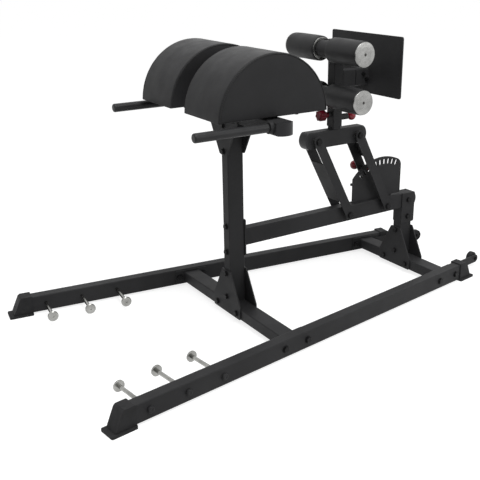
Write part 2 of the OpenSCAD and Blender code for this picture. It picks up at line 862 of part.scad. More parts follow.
module latch_slot() {
    straight = slot_length - slot_width;
    translate([0, slot_radius]) square([slot_width, straight], center = true);
    for (s = [-1, 1])
        translate([0, slot_radius + s * straight / 2]) circle(d = slot_width, $fn = small_fn);
}

// Outline about the middle of the arc, with the slots in a row about the pivot
module sector_outline() {
    difference() {
        intersection() {
            circle(sector_radius, $fn = 192);
            translate([-sector_front, sector_foot])
                square([sector_front + sector_rear, sector_radius]);
        }
        corner_cutter(-sector_front, sector_nose_r);
        corner_cutter(sector_rear, sector_heel_r);
        for (i = [0:slot_count - 1])
            translate([sector_ahead, 0]) rotate(slot_first - i * slot_pitch) latch_slot();
        translate([sector_rear - sector_notch, sector_foot - cut])
            square([sector_notch + cut, notch_height + cut]);
    }
}

module sector_plate() {
    color(black) from_front() translate([sector_middle_x, -sector_offset, boom_z])
        upright_plate(-sector_thick / 2, sector_thick) sector_outline();
}

module sector_stop() {
    color(rubber) from_front()
        translate([sector_middle_x - sector_front - stop_length, -sector_offset,
            boom_z + stop_height])
            rotate([0, 90, 0])
                difference() {
                    union() {
                        cylinder(d1 = stop_diameter - 2 * stop_edge, d2 = stop_diameter,
                            h = stop_edge, $fn = small_fn);
                        translate([0, 0, stop_edge]) cylinder(d = stop_diameter,
                            h = stop_length + stop_grip - stop_edge, $fn = small_fn);
                    }
                    translate([0, 0, stop_length]) linear_extrude(stop_grip + cut)
                        square([2 * stop_diameter, sector_thick + 2 * weld_gap], center = true);
                }
}

// Links

link_outer = link_inner + link_plate;
sector_face = sector_thick / 2 - sector_offset;
web_thick = 5;
web_gap = 24;
front_web_start = 96;
front_web_gap = 112;
rear_web_gap = 74;
barrel_radius = 14;
barrel_length = 20;
barrel_gap = 5;
pin_radius = slot_width / 2 - 0.3;
pin_clearance = 0.15;
loose_clearance = 0.3;

module at_link(pivot) {
    from_front() translate([pivot, 0, boom_z]) rotate([0, -link_lean, 0]) children();
}

module link_outline(top_clearance) {
    difference() {
        union() {
            circle(link_width / 2, $fn = round_fn);
            translate([0, link_length]) circle(link_width / 2, $fn = round_fn);
            translate([-link_width / 2, 0]) square([link_width, link_length]);
        }
        circle(pivot_diameter / 2 + pivot_clearance, $fn = round_fn);
        translate([0, link_length])
            circle(pivot_diameter / 2 + top_clearance, $fn = round_fn);
    }
}

// Two link plates joined by a web, whose front face is at web_x
module link_frame(web_x, web_from, web_to, top_clearance) {
    upright_plate(-link_outer, link_plate) link_outline(top_clearance);
    upright_plate(link_inner, link_plate) link_outline(top_clearance);
    translate([web_x, -link_inner, web_from])
        cube([web_thick, 2 * link_inner, web_to - web_from]);
}

module front_link() {
    color(black) at_link(front_pivot_x)
        link_frame(-link_width / 2, front_web_start, link_length - front_web_gap,
            loose_clearance);
}

module rear_link() {
    barrel_start = sector_face + barrel_gap;
    color(black) at_link(rear_pivot_x) difference() {
        union() {
            link_frame(link_width / 2 - web_thick, sector_radius + sector_ahead + web_gap,
                link_length - rear_web_gap, pivot_clearance);
            translate([0, barrel_start, slot_radius]) rotate([-90, 0, 0])
                cylinder(r = barrel_radius, h = link_outer + barrel_length - barrel_start,
                    $fn = round_fn);
        }
        translate([0, barrel_start - cut, slot_radius]) rotate([-90, 0, 0])
            cylinder(r = pin_radius + pin_clearance,
                h = link_outer + barrel_length - barrel_start + 2 * cut, $fn = round_fn);
    }
}

knob_neck = 6;
knob_neck_length = 7;
knob_flatness = 0.95;
knob_steps = 14;
tip_chamfer = 1;

// A pull knob on its pin; the pin's tip is at z = 0 and points down
module pull_pin(r, reach, knob) {
    k = knob / 2;
    start = acos(knob_neck / k);
    middle = reach + knob_neck_length + knob_flatness * k * sin(start);
    turn = quarter + start;
    rotate_extrude($fn = round_fn)
        polygon(concat([[0, 0], [r - tip_chamfer, 0], [r, tip_chamfer], [r, reach],
            [knob_neck, reach]],
            [for (i = [0:knob_steps - 1])
                let (a = turn * i / knob_steps - start)
                [k * cos(a), middle + knob_flatness * k * sin(a)]],
            [[0, middle + knob_flatness * k]]));
}

module latch_pin() {
    tip_y = sector_face + tip_gap;
    color(red) at_link(rear_pivot_x) translate([0, tip_y, slot_radius]) rotate([-90, 0, 0])
        pull_pin(pin_radius, link_outer + barrel_length + tip_gap - tip_y,
            latch_knob_diameter);
}

bolt_head = 9;

// A shoulder bolt through the boom or the carriage tube with a head at each end
module pivot_bolt() {
    half = link_outer + seat_gap;
    rotate([90, 0, 0]) {
        cylinder(d = pivot_diameter, h = 2 * half + 2, center = true, $fn = round_fn);
        for (s = [-1, 1])
            mirror([0, 0, s < 0 ? 1 : 0]) {
                translate([0, 0, half])
                    cylinder(r = pivot_diameter * 0.85, h = 2, $fn = round_fn);
                translate([0, 0, half + 2]) hex(pivot_diameter * 1.4, bolt_head - 2);
            }
    }
}

// A spacer tube that keeps the link plates clear of the tube they straddle
module pivot_bush() {
    rotate([90, 0, 0]) difference() {
        cylinder(r = bush_outer, h = 2 * (link_inner - seat_gap), center = true,
            $fn = round_fn);
        cylinder(r = bush_bore, h = 3 * link_inner, center = true, $fn = round_fn);
    }
}

module boom_pivot_bolts() {
    color(zinc) from_front()
        for (x = [front_pivot_x, rear_pivot_x]) translate([x, 0, boom_z]) pivot_bolt();
}

module boom_pivot_bushes() {
    color(zinc) from_front()
        for (x = [front_pivot_x, rear_pivot_x]) translate([x, 0, boom_z]) pivot_bush();
}

// Carriage

pop_knob_diameter = 43;
pop_pin_lift = 37;
clamp_lift = 55;
pop_pin_z = sleeve_bottom + pop_pin_lift;
clamp_z = sleeve_bottom + clamp_lift;
knob_screw = 10;
boss_length = 14;
post_rear = post_x + post_size / 2;
sleeve_front_x = post_x - sleeve_size / 2;
sleeve_rear_x = post_x + sleeve_size / 2;

module head_pivots() {
    from_front()
        for (x = [head_front_pivot_x, head_rear_pivot_x])
            translate([x, 0, top_pivot_z]) children();
}

module head_frame() {
    color(black) from_front() difference() {
        union() {
            tube_along_x(head_middle_x - head_length / 2, head_middle_x + head_length / 2,
                top_pivot_z, tube_narrow, tube_wide);
            tube_along_z(post_x, head_top, head_top + post_length, post_size, post_size);
        }
        for (x = [head_front_pivot_x, head_rear_pivot_x])
            pivot_hole(x, top_pivot_z, bush_outer + weld_gap);
        for (i = [0:5])
            translate([post_rear, 0, pop_pin_z + i * post_hole_pitch]) rotate([0, 90, 0])
                cylinder(r = knob_screw / 2 + 0.4, h = post_size / 2, center = true,
                    $fn = small_fn);
    }
}

module head_end_caps() {
    color(rubber) from_front()
        for (s = [-1, 1])
            translate([head_middle_x + s * head_length / 2, 0, top_pivot_z])
                rotate([0, s * 90, 0]) end_cap(tube_wide, tube_narrow);
}

module head_pivot_bolts() {
    color(zinc) head_pivots() pivot_bolt();
}

module head_pivot_bushes() {
    color(zinc) head_pivots() pivot_bush();
}

hub_radius = 38;
hub_half = roller_inner - 2;
barrel_reach = 47;
arm_lift = 213;
arm_z = sleeve_bottom + arm_lift;
ear_length = 74;
ear_thick = 5;
ear_bolts = [[-34, 14], [-14, -12]];
ear_bolt_diameter = 10;

module at_ear_bolts() {
    for (b = ear_bolts) translate([foot_plate_x + b[0], 0, arm_z + b[1]]) children();
}

module sleeve() {
    color(black) from_front() difference() {
        union() {
            translate([post_x, 0, sleeve_bottom]) linear_extrude(sleeve_top - sleeve_bottom)
                rounded_rect(sleeve_size, sleeve_size, tube_corner);
            for (z = [lower_roller_z, upper_roller_z])
                translate([roller_x, 0, z]) rotate([90, 0, 0])
                    cylinder(r = hub_radius, h = 2 * hub_half, center = true, $fn = round_fn);
            translate([sleeve_rear_x - cut, 0, pop_pin_z]) rotate([0, 90, 0])
                cylinder(r = barrel_radius, h = barrel_reach + cut, $fn = round_fn);
            translate([sleeve_front_x - boss_length, 0, clamp_z]) rotate([0, 90, 0])
                cylinder(r = barrel_radius - 2, h = boss_length + cut, $fn = round_fn);
            tube_along_x(sleeve_rear_x - cut, foot_plate_x, arm_z, tube_narrow, tube_wide);
        }
        translate([post_x, 0, sleeve_bottom - cut])
            linear_extrude(sleeve_top - sleeve_bottom + 2 * cut)
                rounded_rect(sleeve_bore, sleeve_bore, tube_corner - sleeve_wall);
        for (z = [lower_roller_z, upper_roller_z])
            translate([roller_x, 0, z]) rotate([90, 0, 0])
                cylinder(d = axle_diameter + 2 * weld_gap, h = 3 * hub_half, center = true,
                    $fn = round_fn);
        translate([post_x, 0, pop_pin_z]) rotate([0, 90, 0])
            cylinder(r = knob_screw / 2 + 0.1, h = 4 * post_size, $fn = round_fn);
        translate([post_x, 0, clamp_z]) rotate([0, -90, 0])
            cylinder(r = knob_screw / 2 + 0.1, h = 4 * post_size, $fn = round_fn);
        at_ear_bolts() rotate([90, 0, 0]) hole(ear_bolt_diameter, 2 * tube_narrow);
    }
}

module sleeve_plug() {
    inside = sleeve_bore - 0.6;
    depth = 14;
    flange = 3;
    color(rubber) from_front() translate([post_x, 0, sleeve_top]) {
        translate([0, 0, -depth]) linear_extrude(depth) rounded_rect(inside, inside, 2);
        linear_extrude(flange) rounded_rect(sleeve_size, sleeve_size, tube_corner);
    }
}

module clamp_knob() {
    tip_x = post_x - post_size / 2 - tip_gap;
    neck_x = sleeve_front_x - boss_length - seat_gap;
    hub_length = 20;
    star_length = 30;
    dome_length = 5;
    knob_radius = 25;
    lobe_radius = 6.5;
    lobes = 7;
    color(red) from_front() translate([0, 0, clamp_z]) rotate([0, -90, 0]) {
        translate([0, 0, -tip_x]) cylinder(d = knob_screw, h = tip_x - neck_x + 1,
            $fn = round_fn);
        translate([0, 0, -neck_x]) cylinder(r1 = knob_radius * 0.45, r2 = knob_radius * 0.7,
            h = hub_length, $fn = round_fn);
        translate([0, 0, hub_length - neck_x]) linear_extrude(star_length) {
            circle(knob_radius - lobe_radius / 2, $fn = round_fn);
            for (i = [1:lobes])
                rotate(i * 360 / lobes) translate([knob_radius - lobe_radius, 0])
                    circle(lobe_radius, $fn = small_fn);
        }
        translate([0, 0, hub_length + star_length - neck_x]) cylinder(
            r1 = knob_radius - lobe_radius, r2 = knob_radius * 0.6, h = dome_length,
            $fn = round_fn);
    }
}

module pop_pin() {
    tip_x = post_rear + tip_gap;
    color(red) from_front() translate([tip_x, 0, pop_pin_z]) rotate([0, 90, 0])
        pull_pin(knob_screw / 2, sleeve_rear_x + barrel_reach + tip_gap - tip_x,
            pop_knob_diameter);
}

// Ankle rollers

module roller_axles() {
    end = roller_outer - 7;
    color(zinc) from_front()
        for (z = [lower_roller_z, upper_roller_z])
            translate([roller_x, 0, z]) rotate([90, 0, 0])
                cylinder(d = axle_diameter, h = 2 * end, center = true, $fn = round_fn);
}

core_radius = axle_diameter / 2 + 3;
disc_thick = 6;
inner_disc_thick = 4;
inner_disc_drop = 3;

// z runs out from the middle of the object along the axle
module at_roller(side, z) {
    from_front() translate([roller_x, 0, z]) rotate([-side * 90, 0, 0]) children();
}

module roller_foam(side, z) {
    inner = roller_inner + inner_disc_thick;
    outer = roller_outer - disc_thick;
    r = foam_diameter / 2;
    edge = 7;
    inner_edge = 4;
    middle = (inner + outer) / 2;
    color(rubber) at_roller(side, z) rotate_extrude($fn = 96)
        polygon(concat([[core_radius + weld_gap, inner]],
            arc([r - 1 - inner_edge, inner + inner_edge], inner_edge, -90, 0, 4),
            [[r, middle - 40], [r, middle + 40]],
            arc([r - 1 - edge, outer - edge], edge, 0, 90, 5),
            [[core_radius + weld_gap, outer]]));
}

module roller_spool(side, z) {
    r = roller_disc_diameter / 2;
    inner_r = r - inner_disc_drop;
    edge = 2;
    inner_edge = 1;
    bore = axle_diameter / 2 + pivot_clearance;
    inner = roller_inner;
    outer = roller_outer;
    color(chrome) at_roller(side, z) rotate_extrude($fn = 96)
        polygon(concat([[bore, inner]],
            arc([inner_r - inner_edge, inner + inner_edge], inner_edge, -90, 0, 3),
            [[inner_r, inner + inner_disc_thick], [core_radius, inner + inner_disc_thick],
                [core_radius, outer - disc_thick], [r, outer - disc_thick]],
            arc([r - edge, outer - 1 - edge], edge, 0, 70, 3),
            [[r * 0.6, outer], [axle_diameter / 4, outer],
                [axle_diameter / 4, outer - disc_thick], [bore, outer - disc_thick]]));
}

// Foot plate

module foot_plate() {
    color(black) from_front() difference() {
        union() {
            facing_plate(foot_plate_x, plate_thick)
                translate([0, foot_plate_bottom + foot_plate_height / 2])
                    rounded_rect(2 * foot_plate_half_width, foot_plate_height,
                        foot_plate_corner);
            for (y = [-tube_narrow / 2 - ear_thick, tube_narrow / 2])
                translate([foot_plate_x - ear_length, y, arm_z - tube_wide / 2 + 4])
                    cube([ear_length + cut, ear_thick, tube_wide - 8]);
        }
        at_ear_bolts() rotate([90, 0, 0]) hole(ear_bolt_diameter, 2 * tube_narrow);
    }
}

module foot_plate_bolts() {
    color(zinc) from_front() at_ear_bolts()
        translate([0, -tube_narrow / 2 - ear_thick, 0]) rotate([-90, 0, 0])
            bolt(ear_bolt_diameter, tube_narrow + 2 * ear_thick);
}

// Transport wheels

wheel_bolt_diameter = 10;

module wheel_bracket(side) {
    r = 20;
    color(black) on_rail(side) difference() {
        upright_plate(bracket_inner, plate_thick) {
            translate([wheel_bolt_place, wheel_z]) circle(r, $fn = round_fn);
            translate([wheel_place, wheel_z]) circle(r, $fn = round_fn);
            translate([wheel_bolt_place, wheel_z - r])
                square([wheel_place - wheel_bolt_place, 2 * r]);
        }
        rail_hole(wheel_bolt_place, bolt_diameter);
        translate([wheel_screw_place, bracket_inner, wheel_z]) rotate([90, 0, 0])
            hole(screw_diameter, 4 * plate_thick);
        translate([wheel_place, bracket_inner, wheel_z]) rotate([90, 0, 0])
            hole(wheel_bolt_diameter, 4 * plate_thick);
    }
}

module wheel(side) {
    r = wheel_radius;
    half = wheel_width / 2;
    bore = wheel_bolt_diameter / 2 + pivot_clearance;
    color(rubber) on_rail(side) translate([wheel_place, wheel_middle, wheel_z])
        rotate([90, 0, 0]) rotate_extrude($fn = round_fn)
            polygon(concat([[bore, -half], [r * 0.62, -half], [r * 0.66, 2 - half],
                [r * 0.72, 2 - half], [r * 0.76, -half]],
                arc([r - wheel_edge, wheel_edge - half], wheel_edge, -90, 0, 6),
                arc([r - wheel_edge, half - wheel_edge], wheel_edge, 0, 90, 6),
                [[r * 0.76, half], [r * 0.72, half - 2], [r * 0.66, half - 2],
                    [r * 0.62, half], [bore, half]]));
}

module wheel_bolts() {
    color(zinc)
        for (side = [-1, 1])
            on_rail(side) {
                translate([wheel_place, bracket_inner + plate_thick, wheel_z])
                    rotate([90, 0, 0])
                        bolt(wheel_bolt_diameter, plate_thick + wheel_spacer + wheel_width
                            + 2 * wheel_gap);
                translate([wheel_place, bracket_inner, wheel_z]) rotate([90, 0, 0])
                    cylinder(d = wheel_bolt_diameter + 8, h = wheel_spacer, $fn = small_fn);
                translate([wheel_screw_place, bracket_inner, wheel_z]) rotate([-90, 0, 0])
                    screw(screw_diameter, plate_thick + foot_wall + tube_wall + 4);
            }
}

base_rail(1);  // base_rail_left
base_rail(-1);  // base_rail_right
front_foot(1);  // front_foot_left
front_foot(-1);  // front_foot_right
rear_foot(1);  // rear_foot_left
rear_foot(-1);  // rear_foot_right
band_pegs(1);  // band_pegs_left
band_pegs(-1);  // band_pegs_right
cross_member(front_cross_x);  // front_cross_member
cross_member(rear_cross_x);  // rear_cross_member
frame_bolts();
front_upright();
gussets(front_cross_x);  // front_gussets
gussets(rear_cross_x);  // rear_gussets
pad_brackets();
pad_beam();
frame_end_caps();
handle_grip(1);  // handle_grip_left
handle_grip(-1);  // handle_grip_right
pad(1);  // pad_left
pad(-1);  // pad_right
pad_board(1);  // pad_board_left
pad_board(-1);  // pad_board_right
pad_bolts();
boom();
rear_upright();
rear_side_plate(1);  // rear_side_plate_left
rear_side_plate(-1);  // rear_side_plate_right
sector_plate();
sector_stop();
boom_pivot_bolts();
boom_pivot_bushes();
front_link();
rear_link();
latch_pin();
head_frame();
head_end_caps();
head_pivot_bolts();
head_pivot_bushes();
sleeve();
sleeve_plug();
clamp_knob();
pop_pin();
roller_axles();
roller_foam(1, lower_roller_z);  // foam_lower_left
roller_foam(-1, lower_roller_z);  // foam_lower_right
roller_foam(1, upper_roller_z);  // foam_upper_left
roller_foam(-1, upper_roller_z);  // foam_upper_right
roller_spool(1, lower_roller_z);  // spool_lower_left
roller_spool(-1, lower_roller_z);  // spool_lower_right
roller_spool(1, upper_roller_z);  // spool_upper_left
roller_spool(-1, upper_roller_z);  // spool_upper_right
foot_plate();
foot_plate_bolts();
wheel_bracket(1);  // wheel_bracket_left
wheel_bracket(-1);  // wheel_bracket_right
wheel(1);  // wheel_left
wheel(-1);  // wheel_right
wheel_bolts();
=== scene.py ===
import json
import math

import bmesh
import bpy
import numpy as np
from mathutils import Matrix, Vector, noise
from mathutils.bvhtree import BVHTree


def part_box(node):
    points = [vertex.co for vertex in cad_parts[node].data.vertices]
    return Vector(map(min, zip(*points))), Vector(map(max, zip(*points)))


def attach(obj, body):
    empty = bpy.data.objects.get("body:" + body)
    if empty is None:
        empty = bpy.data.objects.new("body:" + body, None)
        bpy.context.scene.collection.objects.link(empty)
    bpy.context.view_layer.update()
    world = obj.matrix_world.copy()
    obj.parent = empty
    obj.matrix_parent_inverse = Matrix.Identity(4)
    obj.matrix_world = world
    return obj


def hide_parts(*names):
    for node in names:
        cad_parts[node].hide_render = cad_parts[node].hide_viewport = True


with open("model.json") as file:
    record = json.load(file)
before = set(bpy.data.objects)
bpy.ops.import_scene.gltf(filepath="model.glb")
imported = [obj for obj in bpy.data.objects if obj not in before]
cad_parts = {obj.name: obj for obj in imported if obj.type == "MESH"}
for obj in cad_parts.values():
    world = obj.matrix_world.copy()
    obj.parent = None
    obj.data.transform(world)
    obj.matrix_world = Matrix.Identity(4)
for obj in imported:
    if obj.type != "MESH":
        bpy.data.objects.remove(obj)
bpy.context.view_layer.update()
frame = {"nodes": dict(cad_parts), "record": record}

nodes = frame["nodes"]
scene = bpy.context.scene


# Camera, floor and light

SENSOR_WIDTH = 36              # millimetres
FOCAL_LENGTH = 57.66           # millimetres
LENS_SHIFT = (-0.0775, -0.0329)
CLIPPING = (0.05, 100)
CAMERA_PLACE = (-1.8780, -2.6932, 1.5261)
CAMERA_DOWN = 19.2551          # degrees below the horizon
CAMERA_ASIDE = 34.6636         # degrees from the y axis toward the x axis
SKY_STRENGTH = 0.5             # of the light that comes from all round
FLOOR_GREY = 0.42
FLOOR_GLOW = 0.79              # lifts the lit floor to the white of the background
LIGHT_TARGET = (0, 0, 0.6)
# Name, place, size and power of each area light
LIGHTS = (("key", (-0.5, -1.4, 4.2), (2.4, 2.4), 106),
          ("fill", (2.0, -3.2, 2.2), (2.4, 2.4), 26),
          ("back", (0.4, 2.4, 4.2), (2.6, 2.6), 10))


def make_camera():
    data = bpy.data.cameras.new("camera")
    data.sensor_width = SENSOR_WIDTH
    data.lens = FOCAL_LENGTH
    data.shift_x, data.shift_y = LENS_SHIFT
    data.clip_start, data.clip_end = CLIPPING
    camera = bpy.data.objects.new("camera", data)
    camera.location = CAMERA_PLACE
    camera.rotation_euler = (math.radians(90 - CAMERA_DOWN), 0, math.radians(-CAMERA_ASIDE))
    scene.collection.objects.link(camera)
    scene.camera = camera


def background_rays(tree):
    """1 for the rays that see the background: camera, glossy and transmission."""
    path = tree.nodes.new("ShaderNodeLightPath")
    total = path.outputs["Is Camera Ray"]
    for name in ("Is Glossy Ray", "Is Transmission Ray"):
        add = tree.nodes.new("ShaderNodeMath")
        add.operation = "MAXIMUM"
        tree.links.new(total, add.inputs[0])
        tree.links.new(path.outputs[name], add.inputs[1])
        total = add.outputs[0]
    return total


def scaled(tree, value, factor):
    node = tree.nodes.new("ShaderNodeMath")
    node.operation = "MULTIPLY"
    tree.links.new(value, node.inputs[0])
    node.inputs[1].default_value = factor
    return node.outputs[0]


def white_background(tree, strength):
    node = tree.nodes.new("ShaderNodeBackground")
    node.inputs["Color"].default_value = (1, 1, 1, 1)
    node.inputs["Strength"].default_value = strength
    return node.outputs[0]


def make_world():
    """Lights the scene with one strength and shows the background with another."""
    world = bpy.data.worlds.new("studio")
    scene.world = world
    world.use_nodes = True
    tree = world.node_tree
    tree.nodes.clear()
    mix = tree.nodes.new("ShaderNodeMixShader")
    out = tree.nodes.new("ShaderNodeOutputWorld")
    tree.links.new(background_rays(tree), mix.inputs[0])
    tree.links.new(white_background(tree, SKY_STRENGTH), mix.inputs[1])
    tree.links.new(white_background(tree, 1), mix.inputs[2])
    tree.links.new(mix.outputs[0], out.inputs["Surface"])


def make_floor():
    size, count = 24.0, 12
    bm = bmesh.new()
    bmesh.ops.create_grid(bm, x_segments=count, y_segments=count, size=size)
    mesh = bpy.data.meshes.new("floor")
    bm.to_mesh(mesh)
    bm.free()
    floor = bpy.data.objects.new("floor", mesh)
    scene.collection.objects.link(floor)
    material = bpy.data.materials.new("floor")
    material.use_nodes = True
    tree = material.node_tree
    tree.nodes.clear()
    diffuse = tree.nodes.new("ShaderNodeBsdfDiffuse")
    diffuse.inputs["Color"].default_value = (FLOOR_GREY, FLOOR_GREY, FLOOR_GREY, 1)
    glow = tree.nodes.new("ShaderNodeEmission")
    glow.inputs["Color"].default_value = (1, 1, 1, 1)
    strength = scaled(tree, background_rays(tree), FLOOR_GLOW)
    tree.links.new(strength, glow.inputs["Strength"])
    add = tree.nodes.new("ShaderNodeAddShader")
    out = tree.nodes.new("ShaderNodeOutputMaterial")
    tree.links.new(diffuse.outputs[0], add.inputs[0])
    tree.links.new(glow.outputs[0], add.inputs[1])
    tree.links.new(add.outputs[0], out.inputs["Surface"])
    mesh.materials.append(material)


def area_light(name, place, size, power):
    data = bpy.data.lights.new(name, "AREA")
    data.shape = "RECTANGLE"
    data.size, data.size_y = size
    data.energy = power
    light = bpy.data.objects.new(name, data)
    light.location = place
    toward = Vector(LIGHT_TARGET) - Vector(place)
    light.rotation_mode = "QUATERNION"
    light.rotation_quaternion = toward.to_track_quat("-Z", "Y")
    light.visible_camera = False
    scene.collection.objects.link(light)


# Materials


class Finish:
    """A material on the Principled shader, with its texture nodes in object space."""

    def __init__(self, name):
        self.material = bpy.data.materials.new(name)
        self.material.use_nodes = True
        self.tree = self.material.node_tree
        self.shader = self.tree.nodes["Principled BSDF"]
        coordinates = self.tree.nodes.new("ShaderNodeTexCoord")
        self.place = coordinates.outputs["Object"]

    def node(self, kind, values=None, links=None, **settings):
        node = self.tree.nodes.new("ShaderNode" + kind)
        for key, value in settings.items():
            setattr(node, key, value)
        for key, value in (values or {}).items():
            node.inputs[key].default_value = value
        for key, source in (links or {}).items():
            self.tree.links.new(source, node.inputs[key])
        return node

    def set(self, **values):
        for key, value in values.items():
            self.shader.inputs[key.replace("_", " ")].default_value = value

    def link(self, source, socket):
        self.tree.links.new(source, self.shader.inputs[socket])

    def stretched(self, scale, offset=(0, 0, 0)):
        mapping = self.node("Mapping", {"Location": offset, "Scale": scale},
                            {"Vector": self.place}, vector_type="POINT")
        return mapping.outputs[0]

    def noise(self, scale, detail=3, roughness=0.55, place=None):
        node = self.node("TexNoise", {"Scale": scale, "Detail": detail,
                                      "Roughness": roughness},
                         {"Vector": place or self.place})
        return node.outputs["Fac"]

    def cells(self, scale, feature="F1"):
        node = self.node("TexVoronoi", {"Scale": scale}, {"Vector": self.place},
                         feature=feature)
        return node.outputs["Distance"]

    def spread(self, value, low, high, to_low=0.0, to_high=1.0):
        node = self.node("MapRange", {"From Min": low, "From Max": high,
                                      "To Min": to_low, "To Max": to_high},
                         {"Value": value})
        return node.outputs[0]

    def math(self, operation, first, second):
        node = self.node("Math", operation=operation)
        for socket, value in zip(node.inputs, (first, second)):
            if isinstance(value, (int, float)):
                socket.default_value = value
            else:
                self.tree.links.new(value, socket)
        return node.outputs[0]

    def mixed(self, factor, first, second):
        """Colour between first and second, each an RGB triple or a socket."""
        node = self.node("Mix", data_type="RGBA", blend_type="MIX")
        self.tree.links.new(factor, node.inputs[0])
        for socket, value in ((node.inputs[6], first), (node.inputs[7], second)):
            if isinstance(value, tuple):
                socket.default_value = (*value, 1)
            else:
                self.tree.links.new(value, socket)
        return node.outputs[2]

    def patches(self, scale, detail, dark, light, high=0.7):
        """Colour between dark and light, in soft patches."""
        return self.mixed(self.spread(self.noise(scale, detail), 0.35, high), dark, light)

    def roughen(self, scale, detail, low, high):
        """Roughness between low and high, in soft patches."""
        patchy = self.spread(self.noise(scale, detail), 0.3, 0.7, low, high)
        self.link(patchy, "Roughness")

    def edges(self, radius, breakup=60):
        """1 along sharp edges, broken up by noise, and 0 on the faces."""
        bevel = self.node("Bevel", {"Radius": radius}, samples=4)
        geometry = self.node("NewGeometry")
        dot = self.node("VectorMath", operation="DOT_PRODUCT")
        self.tree.links.new(bevel.outputs[0], dot.inputs[0])
        self.tree.links.new(geometry.outputs["Normal"], dot.inputs[1])
        sharp = self.spread(dot.outputs["Value"], 0.995, 0.86)
        patchy = self.spread(self.noise(breakup, 4, 0.65), 0.42, 0.68)
        return self.math("MULTIPLY", sharp, patchy)

    def bumps(self, layers):
        """layers: (height socket, strength, distance in metres)."""
        normal = None
        for height, strength, distance in layers:
            bump = self.node("Bump", {"Strength": strength, "Distance": distance},
                             {"Height": height})
            if normal is not None:
                self.tree.links.new(normal, bump.inputs["Normal"])
            normal = bump.outputs[0]
        self.link(normal, "Normal")


def srgb(r, g, b):
    """The linear colour of an sRGB one whose channels run from 0 to 255."""
    def channel(v):
        v /= 255
        return v / 12.92 if v <= 0.04045 else ((v + 0.055) / 1.055) ** 2.4
    return tuple(channel(v) for v in (r, g, b))


def powder_coat(name, dark, light, worn_and_highlit):
    f = Finish(name)
    tone = f.patches(3.5, 3, dark, light, 0.65)
    specks = f.spread(f.noise(420, 2), 0.62, 0.72, 0, 0.35)
    tone = f.mixed(specks, tone, light)
    # Lighter along sharp edges: partly wear, partly a painted highlight
    edge = f.edges(0.0022)
    f.link(f.mixed(f.math("MULTIPLY", edge, 0.4), tone, worn_and_highlit), "Base Color")
    rough = f.spread(f.noise(9, 4), 0.3, 0.7, 0.46, 0.58)
    f.link(f.math("SUBTRACT", rough, f.math("MULTIPLY", edge, 0.12)), "Roughness")
    f.set(Specular_IOR_Level=0.12)
    f.bumps([(f.noise(650, 2, 0.5), 0.22, 0.0004), (f.noise(60, 2), 0.05, 0.0006)])
    return f.material


def moulded_rubber(name, dark, light, texture=900, rough=(0.62, 0.8), dust=None):
    f = Finish(name)
    tone = f.patches(14, 4, dark, light)
    if dust:
        scuffs = f.spread(f.noise(38, 6, 0.7), 0.58, 0.8, 0, 0.25)
        tone = f.mixed(scuffs, tone, dust)
    f.link(tone, "Base Color")
    f.roughen(25, 3, *rough)
    f.set(Specular_IOR_Level=0.2)
    f.bumps([(f.noise(texture, 3, 0.6), 0.3, 0.0004), (f.cells(texture * 0.6), 0.12, 0.0003)])
    return f.material


def moulded_plastic(name, dark, light, rough=(0.34, 0.46), edge_wear_and_highlight=None):
    f = Finish(name)
    tone = f.patches(20, 3, dark, light)
    # Lighter along sharp edges: partly wear, partly a painted highlight
    if edge_wear_and_highlight:
        tone = f.mixed(f.math("MULTIPLY", f.edges(0.0015), 0.5), tone, edge_wear_and_highlight)
    f.link(tone, "Base Color")
    f.roughen(45, 4, *rough)
    f.set(Specular_IOR_Level=0.25)
    f.bumps([(f.noise(1400, 2), 0.12, 0.0002)])
    return f.material


def plated_metal(name, base, tint, rough, along, centre=(0, 0, 0), rings=0):
    """Bright zinc or steel, brushed along one axis or turned in rings round centre."""
    f = Finish(name)
    lines = f.noise(900, 3, 0.7, f.stretched(along))
    blotch = f.spread(f.noise(26, 5, 0.6), 0.38, 0.7)
    f.link(f.mixed(blotch, base, tint), "Base Color")
    f.link(f.spread(lines, 0.25, 0.75, rough - 0.07, rough + 0.07), "Roughness")
    f.set(Metallic=1.0)
    layers = [(lines, 0.08, 0.0002)]
    if rings:
        wave = f.node("TexWave", {"Scale": rings, "Distortion": 0.4, "Detail": 2},
                      {"Vector": f.stretched((1, 1, 1), tuple(-c for c in centre))},
                      wave_type="RINGS", rings_direction="Y")
        layers.append((wave.outputs["Fac"], 0.06, 0.0002))
    f.bumps(layers)
    return f.material


def black_oxide(name):
    f = Finish(name)
    tone = f.patches(70, 4, srgb(15, 15, 16), srgb(24, 24, 25))
    # Lighter along sharp edges: partly wear, partly a painted highlight
    edge = f.edges(0.0007, 160)
    f.link(f.mixed(f.math("MULTIPLY", edge, 0.3), tone, srgb(70, 69, 67)), "Base Color")
    f.roughen(110, 3, 0.36, 0.5)
    f.set(Specular_IOR_Level=0.14)
    f.bumps([(f.noise(1500, 2), 0.1, 0.0002)])
    return f.material


def upholstery(name, dark, light):
    """Satin vinyl with a fine pebbled grain."""
    f = Finish(name)
    tone = f.patches(7, 4, dark, light, 0.68)
    grain = f.cells(620, "SMOOTH_F1")
    valleys = f.spread(grain, 0.25, 0.6, 0, 0.3)
    f.link(f.mixed(valleys, tone, light), "Base Color")
    f.roughen(18, 4, 0.4, 0.52)
    f.set(Specular_IOR_Level=0.14)
    f.bumps([(grain, 0.28, 0.0004), (f.noise(180, 3), 0.1, 0.0004),
             (f.noise(24, 2), 0.06, 0.001)])
    return f.material


def roller_skin(name, dark, light):
    """Closed skin of moulded foam, with its faint pores."""
    f = Finish(name)
    f.link(f.patches(11, 4, dark, light, 0.68), "Base Color")
    f.roughen(22, 4, 0.44, 0.58)
    f.set(Specular_IOR_Level=0.24)
    f.bumps([(f.cells(1100), 0.22, 0.0003), (f.noise(300, 3), 0.12, 0.0003),
             (f.noise(30, 2), 0.08, 0.001)])
    return f.material


